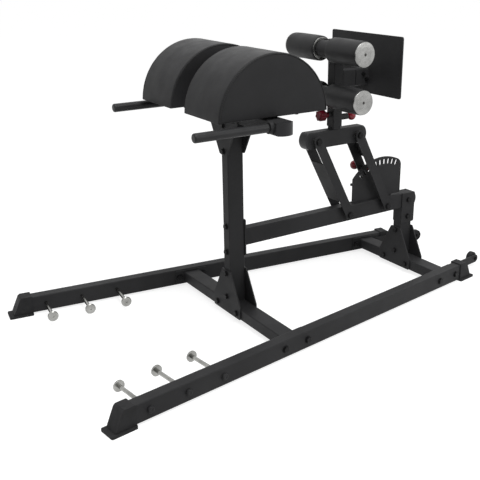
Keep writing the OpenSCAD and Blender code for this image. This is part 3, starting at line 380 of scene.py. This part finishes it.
def plywood(name):
    f = Finish(name)
    grain = f.noise(60, 5, 0.6, f.stretched((1, 14, 14)))
    f.link(f.mixed(f.spread(grain, 0.35, 0.65), srgb(34, 32, 31), srgb(50, 47, 44)),
           "Base Color")
    f.link(f.spread(grain, 0.3, 0.7, 0.6, 0.78), "Roughness")
    f.set(Specular_IOR_Level=0.3)
    f.bumps([(grain, 0.3, 0.0006)])
    return f.material


def gloss_red(name, dark, light, gloss=0.38, coat=0.12, rough=(0.2, 0.3)):
    f = Finish(name)
    f.link(f.patches(30, 3, dark, light), "Base Color")
    f.roughen(60, 4, *rough)
    f.set(Specular_IOR_Level=gloss, Coat_Weight=coat, Coat_Roughness=0.16)
    f.bumps([(f.noise(900, 2), 0.05, 0.0002)])
    return f.material


def roller_disc(name, spool):
    """Satin disc, turned in rings round the axle of a spool."""
    low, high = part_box(spool)
    centre = ((low.x + high.x) / 2, 0, (low.z + high.z) / 2)
    return plated_metal(name, srgb(160, 160, 158), srgb(132, 132, 130), 0.26,
                        (1, 1, 1), centre, rings=260)


FINISHES = {
    "frame_paint": powder_coat("frame_paint", srgb(43, 43, 44), srgb(51, 51, 52),
                               srgb(90, 90, 90)),
    "foot_rubber": moulded_rubber("foot_rubber", srgb(33, 33, 34), srgb(41, 41, 42),
                                  dust=srgb(64, 63, 61)),
    "zinc_peg": plated_metal("zinc_peg", srgb(164, 164, 161), srgb(134, 134, 131), 0.22,
                             (1, 0.04, 1)),
    "black_bolt": black_oxide("black_bolt"),
    "steel": plated_metal("steel", srgb(150, 149, 147), srgb(122, 121, 120), 0.36,
                          (1, 1, 0.05)),
    "black_plastic": moulded_plastic("black_plastic", srgb(30, 30, 32), srgb(38, 38, 40),
                                     edge_wear_and_highlight=srgb(60, 60, 62)),
    "grip_rubber": moulded_rubber("grip_rubber", srgb(35, 35, 36), srgb(43, 43, 44), 1200,
                                  (0.3, 0.4)),
    "vinyl": upholstery("vinyl", srgb(36, 36, 37), srgb(41, 41, 42)),
    "board": plywood("board"),
    "red_knob": gloss_red("red_knob", srgb(126, 12, 30), srgb(142, 18, 38)),
    "foam": roller_skin("foam", srgb(26, 26, 27), srgb(33, 33, 34)),
    "chrome": roller_disc("chrome", "spool_lower_left"),
    "wheel_rubber": moulded_rubber("wheel_rubber", srgb(28, 28, 29), srgb(39, 39, 40),
                                   rough=(0.5, 0.66), dust=srgb(70, 69, 67)),
}
# Finishes of pieces that differ from their slot
# The clamp knob's red is darker than the pull knobs': painted shade from the roller and pad
# above it
CLAMP_RED_PAINTED_SHADE = gloss_red("clamp_red_painted_shade", srgb(76, 6, 20), srgb(90, 9, 26), 0.16, 0, (0.36, 0.46))
UPPER_DISC = roller_disc("chrome_upper", "spool_upper_left")
# The piping is darker than the cover: painted shade of the seam's groove
PIPING_PAINTED_SHADE = moulded_plastic("piping_painted_shade", srgb(24, 24, 25), srgb(30, 30, 31), (0.5, 0.6))
STITCH_THREAD = moulded_rubber("stitch_thread", srgb(38, 38, 39), srgb(46, 46, 47), 2200)


def dress_cad_nodes():
    slots = {part["node"]: part["material_slot"] for part in frame["record"]["subparts"]}
    for name, obj in nodes.items():
        finish = FINISHES[slots[name]]
        if name.startswith("spool_upper"):
            finish = UPPER_DISC
        if name == "clamp_knob":
            # the clamp knob's red carries painted shade
            finish = CLAMP_RED_PAINTED_SHADE
        if not obj.material_slots:
            obj.data.materials.append(finish)
        for slot in obj.material_slots:
            slot.material = finish


# Meshes


def new_object(name, shape, body, slot, finish=None, smooth=True):
    """A new piece from a shape, which is its points and its faces."""
    mesh = mesh_from(name, *shape)
    mesh.materials.append(finish or FINISHES[slot])
    obj = bpy.data.objects.new(name, mesh)
    scene.collection.objects.link(obj)
    for polygon in mesh.polygons:
        polygon.use_smooth = smooth
    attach(obj, body)
    return obj


def mesh_from(name, points, faces):
    mesh = bpy.data.meshes.new(name)
    mesh.from_pydata([tuple(p) for p in points], [], faces)
    mesh.update()
    return mesh


def coordinates(mesh):
    data = np.empty(len(mesh.vertices) * 3)
    mesh.vertices.foreach_get("co", data)
    return data.reshape(-1, 3)


def set_coordinates(mesh, points):
    mesh.vertices.foreach_set("co", np.asarray(points, float).ravel())
    mesh.update()


def ring_of(centre, side, other, radius, count):
    """Points on a circle, from side toward other."""
    turns = [2 * math.pi * k / count for k in range(count)]
    return [centre + (side * math.cos(a) + other * math.sin(a)) * radius for a in turns]


def between_rings(count, sides):
    """The faces between count rings of points that follow one another."""
    faces = []
    for base in range(0, (count - 1) * sides, sides):
        for k in range(sides):
            n = (k + 1) % sides
            faces.append((base + k, base + n, base + sides + n, base + sides + k))
    return faces


def tube(path, radius, sides):
    """Points and faces of a round tube along a path."""
    points = []
    last = len(path) - 1
    side = None
    for i, p in enumerate(path):
        along = (path[min(i + 1, last)] - path[max(i - 1, 0)]).normalized()
        if side is None:
            side = along.orthogonal().normalized()
        side = (side - along * side.dot(along)).normalized()
        points += ring_of(p, side, along.cross(side), radius, sides)
    ends = [tuple(range(sides - 1, -1, -1)), tuple(range(last * sides, len(points)))]
    return points, between_rings(len(path), sides) + ends


def turned(profile, sides, foot, out):
    """Rings of points round out, one for each (radius, height), and the faces they bound."""
    out = Vector(out)
    side = out.orthogonal().normalized()
    points = []
    for radius, height in profile:
        points += ring_of(Vector(foot) + out * height, side, out.cross(side), radius, sides)
    ends = [tuple(range(len(points) - sides, len(points))), tuple(range(sides - 1, -1, -1))]
    return points, between_rings(len(profile), sides) + ends


def mirrored(points, faces):
    return [(x, -y, z) for x, y, z in points], [tuple(reversed(f)) for f in faces]


def joined(shapes):
    """Points and faces of several shapes as one."""
    points, faces = [], []
    for more_points, more_faces in shapes:
        base = len(points)
        points += more_points
        faces += [tuple(base + v for v in face) for face in more_faces]
    return points, faces


# Pads

PROUD = 0.0035                 # how far the round face lies outside the CAD one
TIGHT = 0.0008                 # how far an unfilled side face lies inside the CAD one
HEM = 0.003                    # how far the hem reaches below the CAD underside
BOARD_GAP = 0.0004             # how far the recess for the board rises above that
RECESS_START = 0.017           # distance from the board at which its recess begins
RECESS_SLOPE = 0.014           # width of the recess's slope
LEVEL = 0.0001                 # points this near to the underside count as part of it

STEP, QUICK_STEP = 0.009, 0.014  # size of the cover's cells
UNDERSIDE_STEP = 1.5           # length of the underside's cells as a share of that
PANEL_ENDS = (0.0, 0.0022, 0.0055)  # the first points along a panel
RIM = 0.005                    # radius of the edge between round face and side face
RIM_STEPS = 5
ROUND_FACE_START = (0.0075, 0.011)  # first rings on the round face, from the side face
# A side face's rings: shares of the panel round its middle, then insets from its edge
SIDE_SHARES = (0.14, 0.28, 0.42, 0.54, 0.65, 0.75, 0.84, 0.92)
SIDE_INSETS = (0.012, 0.009, 0.007, 0.0058)
SIDE_MIDDLE = 0.45             # height of that middle as a share of the pad's radius

PRESSURE = 4.0                 # of the filling, for the cloth simulation
CLOTH_MASS = 0.3
CLOTH_STIFFNESS = 25
CLOTH_QUALITY = 5
FILL_FRAMES = 20
SWELL = 0.0034                 # no point moves farther than this
HELD_BY_SEAM = 0.0068          # points this near to a seam stay in place
HELD_BY_HEM = 0.002            # and those this little above the recess

SEAM_INSET = 0.0045            # from the round face to the seam in the side face
SEAM_DEPTH = 0.0018
GROOVE = 0.003                 # distance over which a seam draws the cover in
PUCKER = 0.0004                # height of the puckers beside a seam
PUCKER_REACH = 0.014
PUCKER_WAVES = (55, 40, 3.1)   # waves per metre along and across, and a seed
SAG = 0.0003                   # unevenness of the faces away from the seams
SAG_REACH = 0.03
SAG_WAVES = (9, 12, 7.7)
HEM_FADE = 0.012               # height above the hem at which seams have full depth

PIPING = 0.0022                # radius
PIPING_STEPS = 150
PIPING_SIDES = 10
PIPING_START = 0.003           # height above the hem at which the piping starts
PIPING_SUNK = 0.0006           # how far its middle lies inside the side face

STITCH_PITCH = 0.007
STITCH_HALF = 0.31             # half a stitch's length as a share of the pitch
STITCH_START = 0.012           # height above the hem at which the row starts
STITCH_INSET = 0.009           # distance of the row from the side face
STITCH_RISE = 0.0002           # how far the middle of a stitch stands above the cover
STITCH_DIP = 0.0008            # how much lower its ends are
ALONG_STITCH = (-1, -0.5, 0, 0.5, 1)
THREAD = 0.0005                # radius
THREAD_SIDES = 6
ABOVE_COVER = 0.02             # where the search for the cover's surface begins


def pad_frame():
    """Centre and size of the left pad; its cover's hem wraps the board below it."""
    low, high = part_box("pad_left")
    board_low, board_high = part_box("pad_board_left")
    height, half = high.z - low.z, (high.x - low.x) / 2
    radius = (half * half + height * height) / (2 * height)
    centre = high.z - radius
    return {"x": (low.x + high.x) / 2, "y": (low.y + high.y) / 2, "z": centre,
            "radius": radius + PROUD, "half": (high.y - low.y) / 2 - TIGHT,
            "low": low.z - HEM - centre, "ceiling": low.z + BOARD_GAP - centre,
            "board_x": (board_high.x - board_low.x) / 2,
            "board_y": (board_high.y - board_low.y) / 2}


def spaced(length, step):
    """Distances along a panel, closer together at its two ends."""
    end = PANEL_ENDS[-1]
    inner = length - 2 * end
    count = round(inner / step)
    middle = [end + inner * i / count for i in range(1, count)]
    return list(PANEL_ENDS) + middle + [length - d for d in reversed(PANEL_ENDS)]


def section(p, step, inset):
    """The D section drawn in by inset: the arc from rear to front, then the underside."""
    start = math.asin(p["low"] / p["radius"])
    turn = math.pi - 2 * start
    arc = [d / p["radius"] / turn for d in spaced(p["radius"] * turn, step)]
    chord = 2 * p["radius"] * math.cos(start)
    flat = [d / chord for d in spaced(chord, UNDERSIDE_STEP * step)[1:-1]]
    radius, low = p["radius"] - inset, p["low"] + inset
    start = math.asin(low / radius)
    turn = math.pi - 2 * start
    half = radius * math.cos(start)
    points = [(radius * math.cos(start + turn * t), radius * math.sin(start + turn * t))
              for t in arc]
    return points + [(-half + 2 * half * t, low) for t in flat]


def over_board(p, x, y, z):
    """Lifts the underside into a recess that holds the board, clear of its edges."""
    if z > p["low"] + LEVEL:
        return z
    inside = min(p["board_x"] + RECESS_START - abs(x),
                 p["board_y"] + RECESS_START - abs(y)) / RECESS_SLOPE
    return p["low"] + (p["ceiling"] - p["low"]) * min(1, max(0, inside))


def cover_rings(p, step):
    """The sewn cover before it is filled, as rings from one side's middle to the other's."""
    half = p["half"]
    middle = (0, p["radius"] * SIDE_MIDDLE)
    side = []
    for share in SIDE_SHARES:
        side.append([(middle[0] + (x - middle[0]) * share, half,
                      middle[1] + (z - middle[1]) * share)
                     for x, z in section(p, step, SIDE_INSETS[0])])
    for inset in SIDE_INSETS:
        side.append([(x, half, z) for x, z in section(p, step, inset)])
    for i in range(RIM_STEPS + 1):
        a = math.radians(90 * i / RIM_STEPS)
        inset, away = RIM - RIM * math.sin(a), RIM - RIM * math.cos(a)
        side.append([(x, half - away, z) for x, z in section(p, step, inset)])
    start = ROUND_FACE_START[-1]
    count = round((half - start) / step)
    across = [start + (half - start) * i / count for i in range(1, count + 1)]
    for away in list(ROUND_FACE_START) + across:
        side.append([(x, half - away, over_board(p, x, half - away, z))
                     for x, z in section(p, step, 0)])
    other = [[(x, -y, z) for x, y, z in ring] for ring in reversed(side[:-1])]
    return side + other, middle


def cover_start(p, step):
    rings, middle = cover_rings(p, step)
    n, m = len(rings[0]), len(rings)
    points = [(p["x"] + x, p["y"] + y, p["z"] + z) for ring in rings for x, y, z in ring]
    ends = len(points)
    for y in (p["half"], -p["half"]):
        points.append((p["x"] + middle[0], p["y"] + y, p["z"] + middle[1]))
    faces = []
    for j in range(m - 1):
        for i in range(n):
            k = (i + 1) % n
            faces.append((j * n + i, j * n + k, (j + 1) * n + k, (j + 1) * n + i))
    for i in range(n):
        k = (i + 1) % n
        faces.append((ends, k, i))
        faces.append(((m - 1) * n + i, (m - 1) * n + k, ends + 1))
    mesh = mesh_from("pad_cover", points, faces)
    bm = bmesh.new()
    bm.from_mesh(mesh)
    bmesh.ops.recalc_face_normals(bm, faces=bm.faces)
    bm.to_mesh(mesh)
    bm.free()
    obj = bpy.data.objects.new("pad_work", mesh)
    scene.collection.objects.link(obj)
    return obj


def seam_distance(points, p):
    """Distance of each point from the nearer of the two arc seams, on the side faces."""
    radial = np.hypot(points[:, 0] - p["x"], points[:, 2] - p["z"])
    across = np.abs(points[:, 1] - p["y"])
    return np.hypot(radial - (p["radius"] - SEAM_INSET), across - p["half"])


def fill_cover(obj, held):
    """Blows the cover up between its held points, moving no point past SWELL."""
    rest = coordinates(obj.data)
    group = obj.vertex_groups.new(name="held")
    group.add([int(i) for i in np.nonzero(held)[0]], 1.0, "REPLACE")
    cloth = obj.modifiers.new("Cloth", "CLOTH")
    cloth.settings.quality = CLOTH_QUALITY
    cloth.settings.mass = CLOTH_MASS
    cloth.settings.tension_stiffness = CLOTH_STIFFNESS
    cloth.settings.compression_stiffness = CLOTH_STIFFNESS
    cloth.settings.use_pressure = True
    cloth.settings.uniform_pressure_force = PRESSURE
    cloth.settings.vertex_group_mass = "held"
    cloth.settings.effector_weights.gravity = 0
    cloth.collision_settings.use_collision = False
    cloth.point_cache.frame_end = FILL_FRAMES
    for f in range(1, FILL_FRAMES + 1):
        scene.frame_set(f)
    graph = bpy.context.evaluated_depsgraph_get()
    moved = coordinates(obj.evaluated_get(graph).data)
    obj.modifiers.remove(cloth)
    scene.frame_set(1)
    shift = moved - rest
    length = np.linalg.norm(shift, axis=1, keepdims=True)
    soft = SWELL * np.tanh(length / SWELL)
    set_coordinates(obj.data, rest + shift * soft / np.maximum(length, 1e-9))


def subdivided(obj):
    obj.modifiers.new("Subdivision", "SUBSURF").levels = 1
    graph = bpy.context.evaluated_depsgraph_get()
    mesh = bpy.data.meshes.new_from_object(obj.evaluated_get(graph))
    obj.modifiers.clear()
    return mesh


def uneven(run, across, waves):
    """Noise at each point, from its distances along and across the cover."""
    along_scale, across_scale, seed = waves
    return np.array([noise.noise(Vector((r * along_scale, y * across_scale, seed)))
                     for r, y in zip(run, across)])


def sew(mesh, p):
    """Draws the cover in along both arc seams, with faint puckers beside them."""
    points = coordinates(mesh)
    normals = np.empty(len(points) * 3)
    mesh.vertices.foreach_get("normal", normals)
    far = seam_distance(points, p)
    run = np.arctan2(points[:, 2] - p["z"], points[:, 0] - p["x"]) * p["radius"]
    pucker = uneven(run, points[:, 1], PUCKER_WAVES)
    sag = uneven(run, points[:, 1], SAG_WAVES)
    depth = SEAM_DEPTH * np.exp(-(far / GROOVE) ** 2)
    depth += PUCKER * pucker * np.exp(-(far / PUCKER_REACH) ** 2)
    depth += SAG * sag * (1 - np.exp(-(far / SAG_REACH) ** 2))
    height = points[:, 2] - p["z"] - p["low"]
    depth *= np.clip(height / HEM_FADE, 0, 1)
    set_coordinates(mesh, points - normals.reshape(-1, 3) * depth[:, None])


def seam_path(p, sign):
    """Points along one arc seam, where the piping lies in its groove."""
    radius = p["radius"] - SEAM_INSET
    low = math.asin((p["low"] + PIPING_START) / radius)
    path = []
    for i in range(PIPING_STEPS + 1):
        a = low + (math.pi - 2 * low) * i / PIPING_STEPS
        path.append(Vector((p["x"] + radius * math.cos(a),
                            p["y"] + sign * (p["half"] - PIPING_SUNK),
                            p["z"] + radius * math.sin(a))))
    return path


def stitches(p, tree, sign):
    """A row of short thread lengths on the round face, beside the seam."""
    radius, low = p["radius"], math.asin((p["low"] + STITCH_START) / p["radius"])
    count = int(radius * (math.pi - 2 * low) / STITCH_PITCH)
    half = STITCH_HALF * STITCH_PITCH / radius
    y = p["y"] + sign * (p["half"] - STITCH_INSET)
    threads = []
    for i in range(count):
        middle = low + (math.pi - 2 * low) * (i + 0.5) / count
        path = []
        for share in ALONG_STITCH:
            a = middle + half * share
            start = Vector((p["x"] + (radius + ABOVE_COVER) * math.cos(a), y,
                            p["z"] + (radius + ABOVE_COVER) * math.sin(a)))
            inward = Vector((-math.cos(a), 0, -math.sin(a)))
            hit = tree.ray_cast(start, inward)[0]
            if hit is not None:
                path.append(hit - inward * (STITCH_RISE - STITCH_DIP * share ** 2))
        if len(path) == len(ALONG_STITCH):
            threads.append(tube(path, THREAD, THREAD_SIDES))
    return joined(threads)


def make_pads():
    p = pad_frame()
    work = cover_start(p, STEP)
    rest = coordinates(work.data)
    height = rest[:, 2] - p["z"] - p["low"]
    held = ((seam_distance(rest, p) < HELD_BY_SEAM)
            | (height < p["ceiling"] - p["low"] + HELD_BY_HEM))
    fill_cover(work, held)
    cover = subdivided(work)
    bpy.data.objects.remove(work)
    sew(cover, p)
    points = [tuple(v.co) for v in cover.vertices]
    faces = [tuple(f.vertices) for f in cover.polygons]
    tree = BVHTree.FromPolygons(points, faces)
    trims = {}
    for sign, edge in ((-1, "inner"), (1, "outer")):
        trims["pad_piping_" + edge] = tube(seam_path(p, sign), PIPING, PIPING_SIDES)
        trims["pad_stitches_" + edge] = stitches(p, tree, sign)
    for side, flip in (("left", False), ("right", True)):
        shape = mirrored(points, faces) if flip else (points, faces)
        pad = new_object("pad_cover_" + side, shape, "frame", "vinyl")
        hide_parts("pad_" + side)
        for name, shape in trims.items():
            if flip:
                shape = mirrored(*shape)
            # the piping's dark colour is painted shade of the seam groove
            finish = PIPING_PAINTED_SHADE if "piping" in name else STITCH_THREAD
            new_object(f"{name}_{side}", shape, "frame", "vinyl", finish)


# Ankle rollers

BORE = 0.3                     # radius of a foam's bore as a share of its own
OUTER_EDGE = 0.007             # radius of its rounded outer edge
INNER_EDGE = 0.004             # and of the inner one
OUTER_EDGE_STEPS = 8
INNER_EDGE_STEPS = 6
SLACK = 0.0016                 # how far its skin lies inside the CAD one at the ends
CROWN = 0.0012                 # how far the skin rises toward the middle
CROWN_STEPS = 26
FOAM_SEGMENTS = 96
SKIN_UNEVEN = 0.0007           # height of the skin's bumps
WAVES_ROUND = 1.6
WAVES_ALONG = 14
FOAM_SEEDS = {"lower": 11.3, "upper": 4.1}


def lathe(profile, segments, axis_x, axis_z, side, wobble):
    """Turns (radius, distance along y) round the roller axis; wobble moves a point out."""
    points, faces = [], []
    rings = len(profile)
    for k in range(segments):
        a = 2 * math.pi * k / segments
        out = Vector((math.cos(a), 0, math.sin(a)))
        for r, y in profile:
            base = Vector((axis_x, side * y, axis_z))
            points.append(base + out * (r + wobble(a, y, r)))
    for k in range(segments):
        n = (k + 1) % segments
        for i in range(rings - 1):
            face = (k * rings + i, k * rings + i + 1, n * rings + i + 1, n * rings + i)
            faces.append(face if side > 0 else tuple(reversed(face)))
    return points, faces


def foam_profile(radius, inner, outer):
    """(radius, distance along y) of a foam, from its bore over its skin to the bore again."""
    skin = radius - SLACK
    profile = [(radius * BORE, inner)]
    for i in range(INNER_EDGE_STEPS + 1):
        a = -math.pi / 2 + math.pi / 2 * i / INNER_EDGE_STEPS
        profile.append((skin - INNER_EDGE + INNER_EDGE * math.cos(a),
                        inner + INNER_EDGE + INNER_EDGE * math.sin(a)))
    length = outer - inner - OUTER_EDGE - INNER_EDGE
    for i in range(1, CROWN_STEPS):
        t = i / CROWN_STEPS
        profile.append((skin + CROWN * (1 - (2 * t - 1) ** 4), inner + INNER_EDGE + length * t))
    for i in range(OUTER_EDGE_STEPS + 1):
        a = math.pi / 2 * i / OUTER_EDGE_STEPS
        profile.append((skin - OUTER_EDGE + OUTER_EDGE * math.cos(a),
                        outer - OUTER_EDGE + OUTER_EDGE * math.sin(a)))
    return profile + [(radius * BORE, outer)]


def skin_wobble(radius, side, seed):
    """A function of a point's angle, distance along y and radius: how far it moves out."""
    def wobble(a, y, r):
        share = r / radius
        point = Vector((math.cos(a) * WAVES_ROUND, y * WAVES_ALONG * side,
                        math.sin(a) * WAVES_ROUND + seed))
        return SKIN_UNEVEN * share * share * noise.noise(point)
    return wobble


def make_rollers():
    for level in ("lower", "upper"):
        for side, sign in (("left", 1), ("right", -1)):
            node = f"foam_{level}_{side}"
            low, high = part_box(node)
            radius = (high.x - low.x) / 2
            inner, outer = sorted((abs(low.y), abs(high.y)))
            shape = lathe(foam_profile(radius, inner, outer), FOAM_SEGMENTS,
                          (low.x + high.x) / 2, (low.z + high.z) / 2, sign,
                          skin_wobble(radius, sign, FOAM_SEEDS[level]))
            foam = new_object("roller_" + node, shape, f"roller_{level}_{side}", "foam")
            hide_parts(node)


# Bolt heads

# Size of the washer under a head as a share of the CAD one, and of the hex as a share of it
PLATE_HEAD = (1.22, 0.84)
RAIL_HEAD = (1.38, 0.84)
PIVOT_HEAD = (1.2, 0.93)
NUT_HEIGHT = 0.97              # highest head or nut as a share of the CAD washer's radius
COVER = 0.0006                 # how far a head reaches over the CAD one
FLANGE = 0.0022                # thickness of the washer
LIFT = 0.0001                  # how far it stands off the plate
FLANGE_EDGE = 0.0005           # height of its chamfers
FLANGE_FOOT = 0.0003           # width of the lower one
FLANGE_TOP = 0.0006            # width of the upper one
FLANGE_SIDES = 36
HEX_SUNK = 0.0004              # how deep the hex starts inside the washer
HEX_SHOULDER = 0.0022          # distance below its top at which it starts to narrow
HEX_SLOPE = 0.0008             # by this much, to a corner this far below its top
HEX_TOP = 0.86                 # radius of its top as a share of its corners'
RAIL_SLANT = (0.05, 0.5)       # how far a bolt through a rail points along the machine
PAST_PEGS = 0.02               # how far behind the last peg the peg bolts end
WELD = 2e-5                    # points nearer than this are one
RIM_SHARE = 0.97               # a washer's rim, as a share of the bolt's largest radius
# Painted round head of a peg bolt: (radius, height) up to the floor of its socket
PEG_HEAD = ((0.0128, 0.0001), (0.0132, 0.0008), (0.013, 0.0065), (0.0124, 0.0086),
            (0.0112, 0.0099), (0.0085, 0.0104), (0.0046, 0.0104), (0.0041, 0.0098))
PEG_HEAD_SIDES = 32


def loose_parts(mesh):
    """Points of each loose part of a mesh, its seams welded first."""
    bm = bmesh.new()
    bm.from_mesh(mesh)
    bmesh.ops.remove_doubles(bm, verts=bm.verts[:], dist=WELD)
    seen, parts = set(), []
    for first in bm.verts:
        if first in seen:
            continue
        seen.add(first)
        stack, part = [first], []
        while stack:
            vert = stack.pop()
            part.append(vert.co[:])
            for edge in vert.link_edges:
                other = edge.other_vert(vert)
                if other not in seen:
                    seen.add(other)
                    stack.append(other)
        parts.append(np.array(part))
    bm.free()
    return parts


def washers(points):
    """Foot, outward direction and radius of each washer of a bolt, and its head's height."""
    centre = points.mean(axis=0)
    axis = np.linalg.svd(points - centre, full_matrices=False)[2][0]
    along = (points - centre) @ axis
    radial = np.linalg.norm(points - centre - np.outer(along, axis), axis=1)
    rim = along[radial > RIM_SHARE * radial.max()]
    for sign in (1, -1):
        feet = rim[rim * sign > 0] * sign
        if len(feet):
            foot = centre + axis * sign * feet.min()
            yield foot, axis * sign, radial.max(), (along * sign).max() - feet.min()


def hex_head(foot, out, radius, corner, height):
    """A hex head and its washer, both with chamfered edges."""
    washer = ((radius - FLANGE_FOOT, LIFT), (radius, FLANGE_EDGE),
              (radius, FLANGE - FLANGE_EDGE), (radius - FLANGE_TOP, FLANGE))
    head = ((corner, FLANGE - HEX_SUNK), (corner, height - HEX_SHOULDER),
            (corner - HEX_SLOPE, height - HEX_SLOPE), (corner * HEX_TOP, height))
    return turned(washer, FLANGE_SIDES, foot, out), turned(head, 6, foot, out)


def make_bolt_heads():
    pegs_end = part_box("band_pegs_left")[1].x
    peg_heads = []
    for node, body, form in (("frame_bolts", "frame", PLATE_HEAD),
                             ("boom_pivot_bolts", "frame", PIVOT_HEAD),
                             ("head_pivot_bolts", "carriage", PIVOT_HEAD)):
        heads = []
        for part in loose_parts(nodes[node].data):
            for foot, out, radius, reach in washers(part):
                in_rail = RAIL_SLANT[0] < abs(out[0]) < RAIL_SLANT[1]
                if in_rail and foot[0] < pegs_end + PAST_PEGS:
                    peg_heads.append(turned(PEG_HEAD, PEG_HEAD_SIDES, foot, out))
                    continue
                height = min(reach, radius * NUT_HEIGHT) + COVER
                flange, corner = RAIL_HEAD if in_rail else form
                flange *= radius
                heads += hex_head(foot, out, flange, flange * corner, height)
        new_object(node.replace("bolts", "heads"), joined(heads), body, "black_bolt",
                   smooth=False)
    new_object("peg_heads", joined(peg_heads), "frame", "frame_paint")


scene.view_settings.view_transform = "Standard"
make_camera()
make_world()
make_floor()
for row in LIGHTS:
    area_light(*row)
dress_cad_nodes()
make_pads()
make_rollers()
make_bolt_heads()
